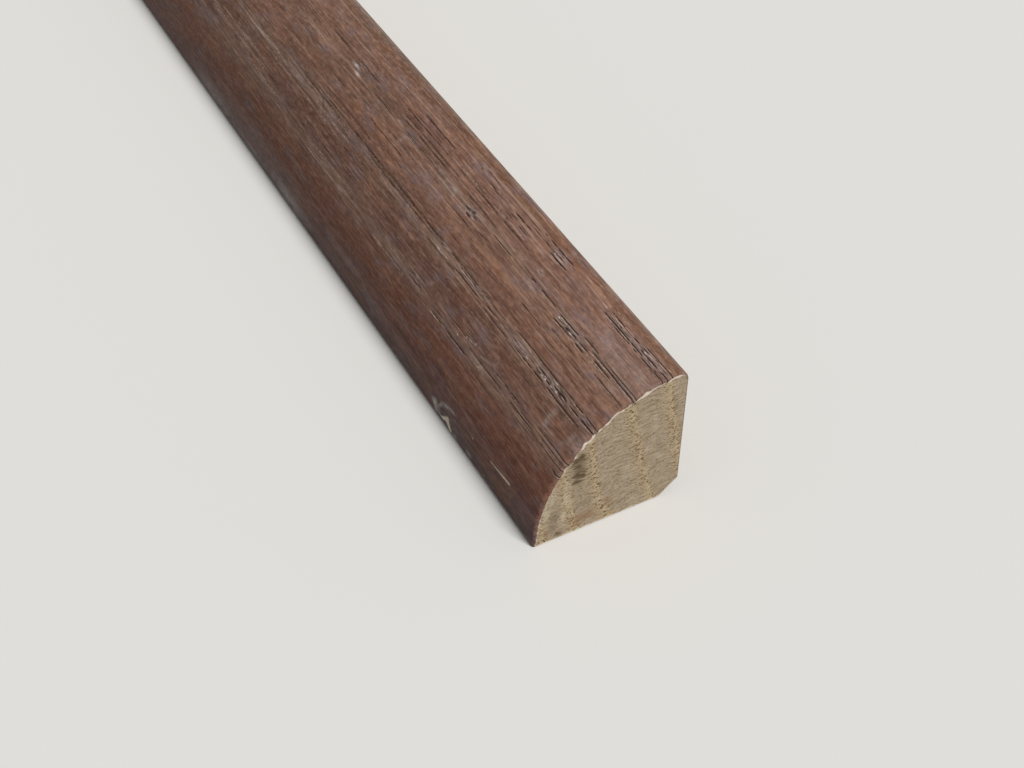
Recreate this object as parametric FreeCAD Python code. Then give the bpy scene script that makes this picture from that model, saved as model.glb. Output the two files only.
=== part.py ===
"""Quarter round moulding: one length of hardwood trim, moulded as a single piece.

The section is a quarter circle about the heel, the inner corner where the floor
and the wall would meet. The stock lies on its floor face, with the length along X,
the wall face towards +Y, the round face to the front and up, and Z upwards. The
origin is at the middle of the floor face's bounding rectangle, halfway along.
"""

import FreeCAD
import Part

import math
import os

# Driving dimensions, in millimetres
LENGTH = 1981.2  # 78 in, the length that prefinished hardwood trim is sold in
RADIUS = 19.05  # 3/4 in: the round face, and so the floor leg and the wall leg
TOP_EASING = 1.2  # rounding of the upper edge, where the round face meets the wall
TOE_EASING = 0.3  # rounding of the front edge, where the round face meets the floor
HEEL_CHAMFER_FLOOR = 2.4  # leg of the heel's bevel along the floor face
HEEL_CHAMFER_WALL = 2.0  # leg of the heel's bevel along the wall face


def easing_centre(easing):
    """Distance along a leg from the heel to the centre of an edge's rounding.

    The rounding touches the leg and the inside of the round face, so its centre
    is one easing off the leg and RADIUS - easing from the heel.
    """
    return math.sqrt((RADIUS - easing) ** 2 - easing**2)


def on_circle(centre, radius, angle):
    """Point of the section at an angle on a circle, as (across, up)."""
    return (centre[0] + radius * math.cos(angle), centre[1] + radius * math.sin(angle))


def arc(place, centre, radius, start, end):
    """Arc edge of the section from one angle to another about a centre."""
    angles = (start, (start + end) / 2, end)
    points = [place(on_circle(centre, radius, angle)) for angle in angles]
    return Part.Arc(*points).toShape()


def line(place, start, end):
    """Straight edge of the section between two points."""
    return Part.LineSegment(place(start), place(end)).toShape()


def section(x):
    """Closed face of the moulding's section at the place x along the length.

    Section points are (across, up) from the heel: across is negative to the front.
    """
    toe = (-easing_centre(TOE_EASING), TOE_EASING)
    top = (-TOP_EASING, easing_centre(TOP_EASING))
    toe_angle = math.atan2(toe[1], toe[0])
    top_angle = math.atan2(top[1], top[0])
    toe_reach = TOE_EASING - toe[0]

    def place(point):
        """Point in space of a section point, with Y counted from mid-width."""
        return FreeCAD.Vector(x, point[0] + toe_reach / 2, point[1])

    floor_end = (-HEEL_CHAMFER_FLOOR, 0)
    wall_end = (0, HEEL_CHAMFER_WALL)
    edges = [
        line(place, floor_end, (toe[0], 0)),
        arc(place, toe, TOE_EASING, 1.5 * math.pi, toe_angle),
        arc(place, (0, 0), RADIUS, toe_angle, top_angle),
        arc(place, top, TOP_EASING, top_angle, 0),
        line(place, (0, top[1]), wall_end),
        line(place, wall_end, floor_end),
    ]
    return Part.Face(Part.Wire(edges))


def quarter_round():
    """The moulding: its section carried along the length, with sawn square ends."""
    return section(-LENGTH / 2).extrude(FreeCAD.Vector(LENGTH, 0, 0))


def main():
    """Builds the moulding and writes it as one part file."""
    os.makedirs("parts", exist_ok=True)
    moulding = quarter_round()
    moulding.exportStep(os.path.join("parts", "quarter_round.step"))
    box = moulding.BoundBox
    print(f"quarter_round: valid {moulding.isValid()}, volume {moulding.Volume:.1f} mm3")
    print(f"box X {box.XMin:.3f} to {box.XMax:.3f}")
    print(f"box Y {box.YMin:.3f} to {box.YMax:.3f}")
    print(f"box Z {box.ZMin:.3f} to {box.ZMax:.3f}")


main()
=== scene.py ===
"""Looks of one length of quarter round moulding: red oak, stained, lacquered and sawn square.

The moulding is one closed surface: the section's outline carried along the length and drawn in to a pole
on each sawn end. Open pores, dents and the worn arris of the cut are in the mesh, and finer grain is in the
materials. Sizes in the classes are in millimetres, and the meshes are in metres.
"""

import logging
import math
from collections.abc import Callable, Sequence
from dataclasses import dataclass, field, replace
from enum import Enum, IntEnum
from itertools import chain

import bpy
import numpy as np
from mathutils import Matrix, Vector


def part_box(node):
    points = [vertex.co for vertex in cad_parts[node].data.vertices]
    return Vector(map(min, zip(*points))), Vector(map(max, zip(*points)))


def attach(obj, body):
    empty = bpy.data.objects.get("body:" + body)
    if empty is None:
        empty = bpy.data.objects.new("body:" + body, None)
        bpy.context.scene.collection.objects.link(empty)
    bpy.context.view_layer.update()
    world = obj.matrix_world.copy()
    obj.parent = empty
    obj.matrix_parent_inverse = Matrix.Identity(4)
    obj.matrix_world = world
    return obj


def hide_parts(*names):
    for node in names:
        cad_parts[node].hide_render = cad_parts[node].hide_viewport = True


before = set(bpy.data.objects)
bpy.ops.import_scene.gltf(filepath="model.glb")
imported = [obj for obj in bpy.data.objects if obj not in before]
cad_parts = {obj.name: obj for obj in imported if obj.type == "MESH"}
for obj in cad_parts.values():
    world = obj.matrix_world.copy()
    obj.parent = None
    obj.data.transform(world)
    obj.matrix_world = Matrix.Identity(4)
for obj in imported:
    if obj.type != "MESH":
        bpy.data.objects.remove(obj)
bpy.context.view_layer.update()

LOG = logging.getLogger("quarter_round")
MM = 0.001
NODE = "quarter_round"

Array = np.ndarray
Point = tuple[float, float]
Tear = tuple[float, float, float]
Oval = tuple[float, float, float, float, float]
Curve = Callable[[Array], tuple[Array, Array]]
Rgba = tuple[float, float, float, float]
Tree = bpy.types.NodeTree
Socket = bpy.types.NodeSocket

BLACK: Rgba = (0.0, 0.0, 0.0, 1.0)
WHITE: Rgba = (1.0, 1.0, 1.0, 1.0)

# Sockets of the Mix node in its colour form
MIX_FACTOR, MIX_A, MIX_B, MIX_RESULT = 0, 6, 7, 2


class Zone(IntEnum):
    """Surfaces of the moulding, in the order of its material slots."""

    ROUND_FACE = 0
    PLANED = 1
    SAWN = 2


class Run(IntEnum):
    """Runs of the section's outline, in their order round it."""

    FLOOR = 0
    TOE = 1
    ROUND = 2
    TOP = 3
    WALL = 4
    WALL_CORNER = 5
    BEVEL = 6
    FLOOR_CORNER = 7


class Mark(Enum):
    """Names of the mesh attributes that place open grain and wear on the surface."""

    PORE = "pore"
    # Pale lines: lighter wood, and painted highlights beside the pores
    PALE = "pale_line"
    OPEN_GRAIN = "open_grain"
    # Painted glints where lacquer fills a vessel
    GLINT_SPOT = "glint_spot"
    # Scuffs on the lacquer, and a painted sheen along the toe
    SCUFF_AND_SHEEN = "scuff_and_sheen"
    BARE = "bare"
    TORN = "torn"


def linear(code: str) -> Rgba:
    """Linear colour of an sRGB hex value.

    Args:
        code: six hex digits after a hash sign.

    Returns:
        Red, green, blue and an alpha of one.
    """
    values = [int(code[i : i + 2], 16) / 255 for i in (1, 3, 5)]
    red, green, blue = [v / 12.92 if v <= 0.04045 else ((v + 0.055) / 1.055) ** 2.4 for v in values]
    return (red, green, blue, 1.0)


def add_node(
    tree: Tree,
    kind: str,
    inputs: dict[str | int, object] | None = None,
    output: str | int = 0,
    stops: Sequence[tuple[float, Rgba]] = (),
    **settings: object,
) -> Socket:
    """Adds one node with its settings, its ramp's stops and its inputs.

    Args:
        tree: node tree that gets the node.
        kind: Blender's name of the shader node, without its first word.
        inputs: value of each input by name or place; an output socket is linked.
        output: name or place of the output that is wanted.
        stops: position and colour of each stop, where the node has a ramp.
        settings: properties of the node itself.

    Returns:
        The output socket.
    """
    node = tree.nodes.new("ShaderNode" + kind)
    for name, value in settings.items():
        setattr(node, name, value)
    for place, (position, colour) in enumerate(stops):
        elements = node.color_ramp.elements
        stop = elements[place] if place < 2 else elements.new(position)
        stop.position = position
        stop.color = colour
    for name, value in (inputs or {}).items():
        if isinstance(value, Socket):
            tree.links.new(value, node.inputs[name])
        else:
            node.inputs[name].default_value = value
    return node.outputs[output]


def seen_rays(tree: Tree) -> Socket:
    """One for rays that show a backdrop: to the camera, in a reflection and through glass.

    Args:
        tree: node tree of the backdrop.

    Returns:
        Socket that is one for such a ray and zero for a ray that carries light to the moulding.
    """
    seen: Socket | float = 0.0
    for ray in ("Is Camera Ray", "Is Glossy Ray", "Is Transmission Ray"):
        kind = add_node(tree, "LightPath", output=ray)
        seen = add_node(tree, "Math", {0: kind, 1: seen}, operation="MAXIMUM")
    return seen


def smooth(values: Array, low: float, high: float) -> Array:
    """Rises from 0 at low to 1 at high along a cubic with flat ends."""
    t = np.clip((values - low) / (high - low), 0, 1)
    return t * t * (3 - 2 * t)


def ragged(places: Array, pitch: float, seed: int) -> Array:
    """Uneven values from 0 to 1 along a line: seeded knots a pitch apart, joined straight.

    Args:
        places: distances at which the values are wanted, zero or more.
        pitch: distance from knot to knot.
        seed: seed of the knots.

    Returns:
        One value for each place.
    """
    count = int(places.max() / pitch) + 2
    knots = np.random.default_rng(seed).uniform(size=count)
    return np.interp(places, np.arange(count) * pitch, knots)


@dataclass(frozen=True)
class GrainLine:
    """Vessels or ridges in line along the grain, at one angle about the heel.

    The angle is counted in degrees from the toe, and each span in millimetres from the sawn end.
    """

    angle: float
    strength: float
    spans: tuple[Point, ...]
    width: float = 0.062


@dataclass(frozen=True)
class Stroke:
    """A rubbed or scratched line on the lacquer, through (distance, angle) points."""

    points: tuple[Point, ...]
    width: float
    strength: float
    # Scuffs by default; in the toe's haze this mark paints a sheen
    mark: Mark = Mark.SCUFF_AND_SHEEN
    dent: float = 0.0


@dataclass(frozen=True)
class Patch:
    """A soft oval mark, with its half length along the grain and half width across it."""

    distance: float
    angle: float
    half_length: float
    half_width: float
    strength: float
    mark: Mark = Mark.SCUFF_AND_SHEEN
    dent: float = 0.0


# Open vessels where the growth rings crop out on the round face, roughly from the top edge down
PORE_LINES: tuple[GrainLine, ...] = (
    GrainLine(83.5, 0.8, ((-0.5, 5.2),), 0.06),
    GrainLine(83.4, 0.8, ((12.2, 12.8),)),
    GrainLine(82.5, 0.95, ((4.3, 5.4), (6.2, 7.3), (9.3, 11.3), (11.6, 12.1)), 0.08),
    GrainLine(81.5, 0.85, ((-0.5, 1.3), (2.0, 5.4)), 0.08),
    GrainLine(80.5, 1.0, ((4.5, 7.0), (7.2, 12.6)), 0.085),
    GrainLine(79.6, 0.85, ((-0.3, 1.8), (2.2, 4.5), (5.3, 6.0), (6.8, 10.0)), 0.078),
    GrainLine(83.0, 1.1, ((21.0, 22.8), (22.9, 24.4), (25.0, 26.0), (27.2, 27.8)), 0.08),
    GrainLine(82.2, 0.6, ((28.0, 33.0), (33.5, 37.0), (38.0, 42.0))),
    GrainLine(81.1, 0.85, ((22.5, 24.4), (25.3, 26.3), (27.6, 29.0), (42.0, 42.8)), 0.072),
    GrainLine(79.7, 1.05, ((20.9, 24.5), (29.3, 30.3), (30.6, 32.8), (38.0, 39.4)), 0.08),
    GrainLine(77.2, 0.8, ((28.5, 30.7), (32.4, 34.0))),
    GrainLine(75.6, 0.5, ((32.0, 36.0), (37.0, 42.0), (50.0, 58.0), (66.0, 72.0)), 0.1),
    GrainLine(74.4, 0.4, ((3.7, 8.0), (10.5, 12.5)), 0.1),
    GrainLine(74.3, 0.5, ((26.0, 33.0), (34.0, 45.0), (46.0, 60.0)), 0.15),
    GrainLine(73.0, 0.4, ((14.0, 16.0), (18.0, 21.0), (52.0, 60.0)), 0.1),
    GrainLine(72.1, 0.42, ((43.0, 58.0), (66.0, 80.0)), 0.24),
    GrainLine(70.5, 0.45, ((32.0, 40.0), (46.0, 57.0)), 0.18),
    GrainLine(78.1, 0.5, ((31.5, 34.0), (48.0, 56.0)), 0.14),
    GrainLine(69.4, 0.8, ((-0.5, 6.5), (7.8, 11.0)), 0.068),
    GrainLine(68.7, 0.95, ((16.9, 20.4), (21.5, 22.6)), 0.072),
    GrainLine(67.9, 0.5, ((47.5, 56.0), (58.0, 66.0)), 0.11),
    GrainLine(68.2, 0.95, ((-0.4, 8.6), (11.6, 15.6)), 0.085),
    GrainLine(68.1, 0.65, ((27.0, 31.7),)),
    GrainLine(66.9, 0.95, ((4.2, 7.5), (9.0, 10.9), (11.0, 13.6)), 0.08),
    GrainLine(65.6, 1.0, ((9.3, 11.0), (12.0, 15.8)), 0.08),
    GrainLine(67.3, 0.4, ((35.4, 37.8), (42.5, 47.0), (49.0, 56.0))),
    GrainLine(64.1, 0.75, ((0.2, 6.0),), 0.06),
    GrainLine(64.2, 0.35, ((60.0, 68.0),), 0.1),
    GrainLine(64.4, 0.5, ((7.3, 9.6), (32.0, 34.0), (44.0, 48.0), (50.5, 53.0))),
    GrainLine(65.0, 0.45, ((17.0, 20.5),)),
    GrainLine(62.9, 0.45, ((9.0, 15.0), (31.0, 42.0), (47.0, 58.0), (63.0, 70.0)), 0.13),
    GrainLine(60.5, 0.55, ((16.0, 20.5), (52.0, 62.0), (69.0, 75.0)), 0.1),
    GrainLine(59.0, 0.4, ((12.0, 15.0), (29.0, 33.0), (38.0, 43.0)), 0.1),
    GrainLine(57.9, 0.45, ((0.5, 4.5), (24.0, 29.0), (50.0, 60.0)), 0.1),
    GrainLine(56.6, 0.4, ((4.0, 9.0), (33.0, 38.0)), 0.1),
    GrainLine(55.2, 0.45, ((18.0, 22.0), (58.0, 72.0), (80.0, 90.0)), 0.12),
    GrainLine(53.0, 0.8, ((-0.5, 2.4), (2.8, 4.5)), 0.075),
    GrainLine(53.2, 0.75, ((5.0, 17.5),), 0.055),
    GrainLine(52.2, 0.55, ((20.0, 24.0), (36.0, 41.0), (42.0, 48.0), (60.0, 72.0))),
    GrainLine(51.2, 0.85, ((-0.5, 2.6), (3.0, 5.0), (5.6, 8.4), (9.0, 11.8)), 0.075),
    GrainLine(51.5, 0.6, ((26.0, 31.0),)),
    GrainLine(51.4, 0.35, ((78.0, 86.0),), 0.12),
    GrainLine(52.4, 0.42, ((24.0, 34.0), (36.0, 62.0)), 0.22),
    GrainLine(50.9, 0.4, ((40.0, 56.0), (66.0, 78.0)), 0.18),
    GrainLine(50.3, 0.7, ((5.8, 7.2), (8.9, 12.4), (21.5, 24.0))),
    GrainLine(49.6, 0.75, ((25.5, 32.0),), 0.065),
    GrainLine(48.9, 0.9, ((2.0, 9.0), (10.0, 12.0), (12.5, 13.4), (13.8, 14.6), (15.0, 16.0))),
    GrainLine(48.7, 0.6, ((18.0, 24.0), (36.3, 38.5))),
    GrainLine(46.4, 0.4, ((20.0, 25.0), (50.0, 60.0), (74.0, 82.0)), 0.1),
    GrainLine(44.8, 0.4, ((8.0, 14.0), (22.0, 27.0), (55.0, 62.0)), 0.1),
    GrainLine(43.0, 0.35, ((15.0, 21.0), (30.0, 36.0)), 0.1),
    GrainLine(41.2, 0.35, ((24.0, 28.0), (36.0, 41.0)), 0.1),
    GrainLine(37.8, 0.7, ((-0.2, 6.5), (10.5, 12.5), (13.0, 14.2), (14.8, 16.0)), 0.065),
    GrainLine(38.2, 0.4, ((60.0, 66.0), (80.0, 88.0)), 0.12),
    GrainLine(37.0, 0.5, ((23.0, 28.0), (34.0, 37.5))),
    GrainLine(36.3, 0.6, ((-0.2, 5.0), (7.5, 10.0)), 0.06),
    GrainLine(35.3, 0.7, ((6.6, 12.0), (14.0, 22.0))),
    GrainLine(35.2, 0.45, ((34.4, 36.8),)),
    GrainLine(34.6, 0.5, ((-0.2, 7.0),), 0.055),
    GrainLine(34.7, 0.35, ((50.0, 58.0), (70.0, 80.0)), 0.1),
    GrainLine(33.9, 0.5, ((28.3, 31.0), (34.2, 38.0))),
    GrainLine(32.3, 0.75, ((-0.2, 1.2), (22.0, 27.0), (28.0, 30.5)), 0.08),
    GrainLine(30.3, 0.4, ((14.0, 20.0), (45.0, 51.0)), 0.1),
    GrainLine(28.2, 0.35, ((0.5, 5.0), (19.0, 26.0)), 0.1),
)

# Pale lines beside the vessels: lighter wood, and a painted highlight on the ridges of lacquer
PALE_LINES: tuple[GrainLine, ...] = (
    GrainLine(84.2, 0.6, ((0.4, 1.4), (9.0, 12.0), (14.0, 19.0)), 0.08),
    GrainLine(82.0, 0.9, ((4.2, 5.2), (9.3, 11.2), (12.6, 14.0)), 0.07),
    GrainLine(82.8, 0.45, ((29.0, 33.5), (35.0, 41.0)), 0.065),
    GrainLine(80.3, 0.5, ((33.0, 38.0), (50.0, 62.0)), 0.09),
    GrainLine(78.7, 0.55, ((1.0, 3.0), (10.0, 11.4), (22.0, 27.0)), 0.09),
    GrainLine(75.3, 0.5, ((28.0, 36.0), (40.0, 47.0)), 0.2),
    GrainLine(71.4, 0.3, ((26.0, 40.0), (47.0, 54.0)), 0.24),
    GrainLine(77.2, 0.45, ((42.0, 46.0), (70.0, 82.0)), 0.2),
    GrainLine(70.2, 0.45, ((2.0, 8.0), (13.0, 17.0), (24.0, 33.0)), 0.1),
    GrainLine(67.6, 0.7, ((5.0, 9.0), (13.0, 16.0)), 0.07),
    GrainLine(66.2, 0.6, ((5.0, 9.0), (13.0, 16.0), (20.0, 26.0), (79.0, 90.0)), 0.08),
    GrainLine(66.8, 0.36, ((50.0, 61.0), (74.0, 92.0)), 0.16),
    GrainLine(64.9, 0.5, ((1.0, 7.0), (33.0, 41.0)), 0.08),
    GrainLine(62.0, 0.4, ((3.0, 8.0), (10.0, 15.0), (38.0, 46.0)), 0.12),
    GrainLine(52.5, 0.8, ((2.6, 5.0), (8.0, 9.5), (14.0, 16.5), (24.0, 27.0)), 0.065),
    GrainLine(49.9, 0.75, ((15.0, 24.0),), 0.055),
    GrainLine(49.8, 0.85, ((33.0, 37.2),), 0.06),
    GrainLine(50.6, 0.5, ((39.0, 46.0), (52.0, 66.0)), 0.08),
    GrainLine(48.2, 0.5, ((2.6, 7.5), (18.0, 32.0), (84.0, 93.0)), 0.08),
    GrainLine(49.3, 0.55, ((33.0, 36.0), (46.0, 53.0), (66.0, 72.0)), 0.065),
    GrainLine(49.7, 0.55, ((62.0, 72.0),), 0.16),
    GrainLine(47.6, 0.5, ((60.0, 72.0), (75.0, 86.0), (88.0, 98.0)), 0.24),
    GrainLine(45.4, 0.45, ((63.0, 86.0),), 0.22),
    GrainLine(41.0, 0.45, ((86.0, 104.0),), 0.3),
    GrainLine(38.4, 0.5, ((84.0, 106.0),), 0.35),
    GrainLine(38.5, 0.7, ((21.8, 24.0),), 0.07),
    GrainLine(37.1, 0.4, ((0.0, 9.0), (25.0, 28.0), (29.0, 33.0)), 0.07),
    GrainLine(35.4, 0.8, ((-0.4, 5.4), (24.5, 26.0)), 0.055),
    GrainLine(35.4, 0.5, ((40.0, 46.0), (53.0, 69.0), (78.0, 92.0)), 0.22),
    GrainLine(34.2, 0.4, ((8.0, 12.0), (16.5, 21.0)), 0.07),
    GrainLine(33.2, 0.4, ((8.0, 12.0), (17.0, 21.0), (23.0, 27.0), (50.0, 57.0)), 0.08),
    GrainLine(31.8, 0.95, ((28.5, 31.0), (38.0, 47.5)), 0.07),
    GrainLine(32.2, 0.5, ((59.0, 68.0), (89.0, 95.0)), 0.25),
    GrainLine(28.5, 0.35, ((2.0, 6.0), (33.0, 40.0)), 0.1),
    GrainLine(21.0, 0.3, ((4.0, 8.0), (17.0, 21.0)), 0.1),
    GrainLine(65.6, 0.4, ((2.4, 9.4),), 0.22),
)

# Stretches where the earlywood is open to the surface and full of fine vessels
OPEN_STRETCHES: tuple[Patch, ...] = (
    Patch(3.2, 81.7, 3.4, 0.7, 0.75),
    Patch(9.3, 80.8, 3.6, 0.6, 0.75),
    Patch(23.2, 81.3, 2.2, 0.6, 0.85),
    Patch(42.5, 83.0, 1.0, 0.6, 0.5),
    Patch(2.0, 68.6, 3.0, 0.5, 0.5),
    Patch(12.6, 67.2, 3.2, 0.6, 0.85),
    Patch(22.7, 72.2, 1.0, 0.45, 0.7),
    Patch(25.5, 71.6, 0.6, 0.3, 0.5),
    Patch(36.7, 67.0, 1.6, 0.65, 0.95),
    Patch(45.5, 68.4, 1.5, 0.5, 0.5),
    Patch(57.4, 69.0, 0.8, 0.5, 0.7),
    Patch(1.0, 52.1, 1.6, 0.25, 0.8),
    Patch(8.2, 51.0, 5.0, 0.7, 0.75),
    Patch(16.0, 50.6, 5.0, 0.5, 0.45),
    Patch(28.5, 51.4, 5.0, 0.6, 0.55),
    Patch(35.3, 51.8, 2.4, 0.5, 0.55),
    Patch(0.1, 32.6, 0.6, 0.4, 0.75),
    Patch(12.5, 37.2, 6.0, 0.8, 0.35),
    Patch(22.1, 37.4, 1.2, 0.5, 0.7),
    Patch(27.0, 33.2, 6.0, 0.6, 0.3),
    Patch(36.0, 34.9, 2.4, 0.9, 0.65),
)

# Open stretches whose ridges are paler than the stain
PALE_STRETCHES: tuple[Patch, ...] = (
    Patch(18.8, 33.8, 2.4, 0.45, 0.5),
    Patch(9.8, 33.7, 2.2, 0.35, 0.3),
)

# Glints where lacquer fills a vessel, as distance and angle, and the half sizes of each
GLINT_SIZE: Point = (0.22, 0.07)
GLINTS: tuple[Point, ...] = (
    (12.5, 66.5),
    (15.3, 67.2),
    (24.0, 80.8),
    (4.7, 81.8),
    (7.6, 50.5),
    (8.3, 52.4),
    (8.6, 50.3),
    (10.0, 50.3),
    (10.7, 50.3),
    (14.0, 50.0),
    (36.0, 49.5),
    (21.3, 38.3),
    (23.2, 37.2),
    (24.7, 35.0),
)

# Wear on the lacquer, mostly near the sawn end, and a painted sheen along the toe
WEAR_AND_SHEEN: tuple[Patch | Stroke, ...] = (
    Stroke(((1.5, 46.0), (1.7, 43.5), (2.4, 41.0)), 0.55, 0.34),
    Stroke(((5.8, 46.0), (5.9, 43.0), (5.8, 40.5)), 0.55, 0.38),
    Patch(4.2, 40.3, 1.6, 0.35, 0.32),
    Patch(0.4, 44.6, 1.0, 1.3, 0.38),
    Patch(2.0, 74.6, 4.0, 1.7, 0.28),
    Patch(6.0, 73.8, 11.0, 1.9, 0.25),
    Patch(10.0, 68.5, 14.0, 1.2, 0.16),
    Patch(2.2, 65.6, 2.6, 0.9, 0.26),
    Patch(46.0, 63.0, 7.0, 1.4, 0.16),
    Patch(26.0, 64.5, 3.0, 1.0, 0.16),
    Patch(30.0, 70.5, 7.0, 1.0, 0.12),
    Patch(93.0, 41.0, 5.0, 1.4, 0.2),
    Patch(79.0, 51.0, 8.0, 0.8, 0.18),
    Patch(20.0, 34.6, 3.0, 0.5, 0.25),
    Stroke(((16.8, 40.5), (17.5, 38.3), (19.5, 37.0)), 0.25, 0.28),
    Stroke(((40.8, 66.0), (41.6, 68.3), (42.3, 67.0)), 0.35, 0.36),
    Patch(43.0, 66.4, 3.0, 1.2, 0.22),
    # Nicks of bare wood, painted bright as a highlight
    Stroke(((6.3, 12.65), (7.0, 12.5), (8.2, 12.3)), 0.11, 1.6, Mark.BARE, 0.03),
    Stroke(((8.2, 12.2), (10.6, 11.7)), 0.09, 0.85, Mark.BARE, 0.02),
    Stroke(((6.0, 19.6), (9.0, 19.3)), 0.13, 0.28),
    Stroke(((15.1, 11.2), (16.5, 11.5), (18.1, 11.9)), 0.1, 0.4),
    # Painted glint at the end of the scratch
    Patch(15.1, 11.2, 0.25, 0.12, 1.0, Mark.GLINT_SPOT),
    # Chip on the toe: a hollow, a sliver of bare wood on its lower lip, painted bright as a highlight, and
    # crushed lacquer round it
    Patch(21.5, 5.0, 1.3, 0.5, 0.0, dent=0.6),
    Patch(23.8, 6.6, 0.9, 0.5, 0.0, dent=0.3),
    Stroke(((20.2, 1.3), (20.6, 2.2)), 0.28, 2.0, Mark.BARE),
    Stroke(((20.6, 2.2), (21.3, 3.2), (21.7, 3.3)), 0.22, 1.2, Mark.BARE),
    Stroke(((21.7, 3.2), (22.4, 2.2)), 0.2, 1.2, Mark.BARE),
    Stroke(((19.8, 10.6), (21.0, 9.9)), 0.26, 0.95),
    Stroke(((21.2, 9.9), (22.0, 9.3)), 0.32, 1.0),
    Stroke(((22.9, 2.2), (23.6, 3.2), (24.2, 3.4)), 0.25, 1.1),
    Stroke(((24.1, 2.6), (24.6, 4.8)), 0.45, 1.5),
    Stroke(((24.1, 2.8), (24.6, 4.6)), 0.3, 0.5, Mark.BARE),
    Stroke(((22.5, 8.6), (23.2, 6.4), (23.6, 4.4)), 0.3, 0.95),
    Patch(15.5, 2.4, 0.9, 0.3, 0.8),
    Patch(19.0, 1.6, 0.8, 0.3, 0.8),
    # Painted sheen: grey haze along the toe and low on the face, laid as scuffs
    Patch(22.0, 4.0, 8.0, 1.2, 0.32),
    Patch(34.5, 3.0, 4.0, 0.9, 0.25),
    Patch(56.0, 5.0, 8.0, 1.2, 0.24),
    Patch(70.0, 4.8, 9.0, 1.6, 0.72),
    Patch(80.0, 8.5, 20.0, 1.9, 0.32),
    Patch(43.0, 9.5, 4.0, 1.2, 0.38),
    Patch(50.0, 12.5, 9.0, 1.0, 0.35),
    Patch(80.0, 12.5, 26.0, 1.5, 0.3),
    Patch(84.0, 3.2, 12.0, 1.0, 0.55),
    Patch(97.0, 4.5, 11.0, 2.0, 0.58),
    Stroke(((38.0, 15.4), (45.0, 14.8)), 0.5, 0.22),
    Stroke(((54.5, 13.1), (57.2, 12.9)), 0.25, 0.34),
    Patch(76.5, 16.0, 2.5, 0.6, 0.26),
    # White nicks and rubbed places further along
    Stroke(((69.5, 67.3), (70.7, 67.6)), 0.2, 0.8),
    Stroke(((70.6, 68.9), (71.9, 69.5)), 0.24, 0.9),
    Stroke(((71.5, 49.3), (80.0, 48.2)), 0.2, 0.3),
    Patch(57.4, 32.5, 0.9, 0.5, 0.45),
    Patch(62.6, 33.9, 1.8, 0.6, 0.28),
    Stroke(((54.5, 61.0), (54.6, 66.0)), 0.3, 0.34),
    Patch(103.0, 34.0, 2.0, 0.7, 0.3),
    Stroke(((86.0, 48.3), (93.0, 47.8)), 0.3, 0.26),
)

# Cluster of short pores
SHORT_PORES: tuple[Patch, ...] = (
    Patch(37.7, 67.2, 0.45, 0.12, 0.85),
    Patch(36.8, 65.6, 0.5, 0.11, 0.85),
    Patch(36.6, 68.0, 0.4, 0.11, 0.75),
    Patch(35.7, 66.8, 0.4, 0.1, 0.75),
)

# Places where the stain soaked in
SOAKED_PLACES: tuple[Patch, ...] = (
    Patch(66.0, 70.2, 28.0, 1.0, 0.19),
    Patch(66.0, 51.2, 26.0, 1.1, 0.19),
    Patch(82.0, 60.0, 26.0, 1.3, 0.165),
    Patch(16.8, 56.6, 1.1, 0.5, 0.2),
    Patch(20.2, 57.2, 0.6, 0.35, 0.22),
    Patch(14.4, 47.6, 0.5, 0.3, 0.25),
    Patch(18.0, 47.8, 0.5, 0.3, 0.2),
    Patch(24.6, 71.2, 0.6, 0.4, 0.2),
    Patch(1.3, 46.4, 0.6, 0.35, 0.22),
)


def leaving(mark: Mark, patches: Sequence[Patch]) -> list[Patch]:
    """The same patches, each leaving the given mark."""
    return [replace(patch, mark=mark) for patch in patches]


# All lines, patches and strokes, by the mark that they leave
GRAIN_LINES = [(Mark.PORE, line) for line in PORE_LINES] + [(Mark.PALE, line) for line in PALE_LINES]
SURFACE_MARKS: tuple[Patch | Stroke, ...] = (
    *leaving(Mark.OPEN_GRAIN, OPEN_STRETCHES),
    *leaving(Mark.PALE, PALE_STRETCHES),
    *leaving(Mark.GLINT_SPOT, [Patch(*spot, *GLINT_SIZE, strength=1.0) for spot in GLINTS]),
    *WEAR_AND_SHEEN,
    *leaving(Mark.PORE, SHORT_PORES + SOAKED_PLACES),
)


@dataclass(frozen=True)
class Limits:
    """Limits between which a pattern is stretched, and the least and most that comes out."""

    low: float = 0.0
    high: float = 1.0
    least: float = 0.0
    most: float = 1.0

    def of(self, pattern: Socket) -> dict[str, object]:
        """Inputs of a range node that stretches a pattern between these limits.

        Args:
            pattern: pattern to stretch.

        Returns:
            Value of each input by name.
        """
        limits = {"From Min": self.low, "From Max": self.high, "To Min": self.least, "To Max": self.most}
        return {"Value": pattern, **limits}


@dataclass(frozen=True)
class Figure:
    """A pattern of the wood: noise whose grains have a real length and width."""

    length: float
    width: float
    detail: float = 3.0
    roughness: float = 0.55

    def draw(self, tree: Tree, places: Socket) -> Socket:
        """Adds the pattern to a material.

        Args:
            tree: node tree of the material.
            places: places in millimetres, the first axis along the pattern.

        Returns:
            Socket of the noise, about one half on average.
        """
        scale = (1 / self.length, 1 / self.width, 1 / self.width)
        stretched = add_node(tree, "Mapping", {"Vector": places, "Scale": scale})
        detail = {"Scale": 1.0, "Detail": self.detail, "Roughness": self.roughness}
        return add_node(tree, "TexNoise", {"Vector": stretched, **detail})


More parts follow.
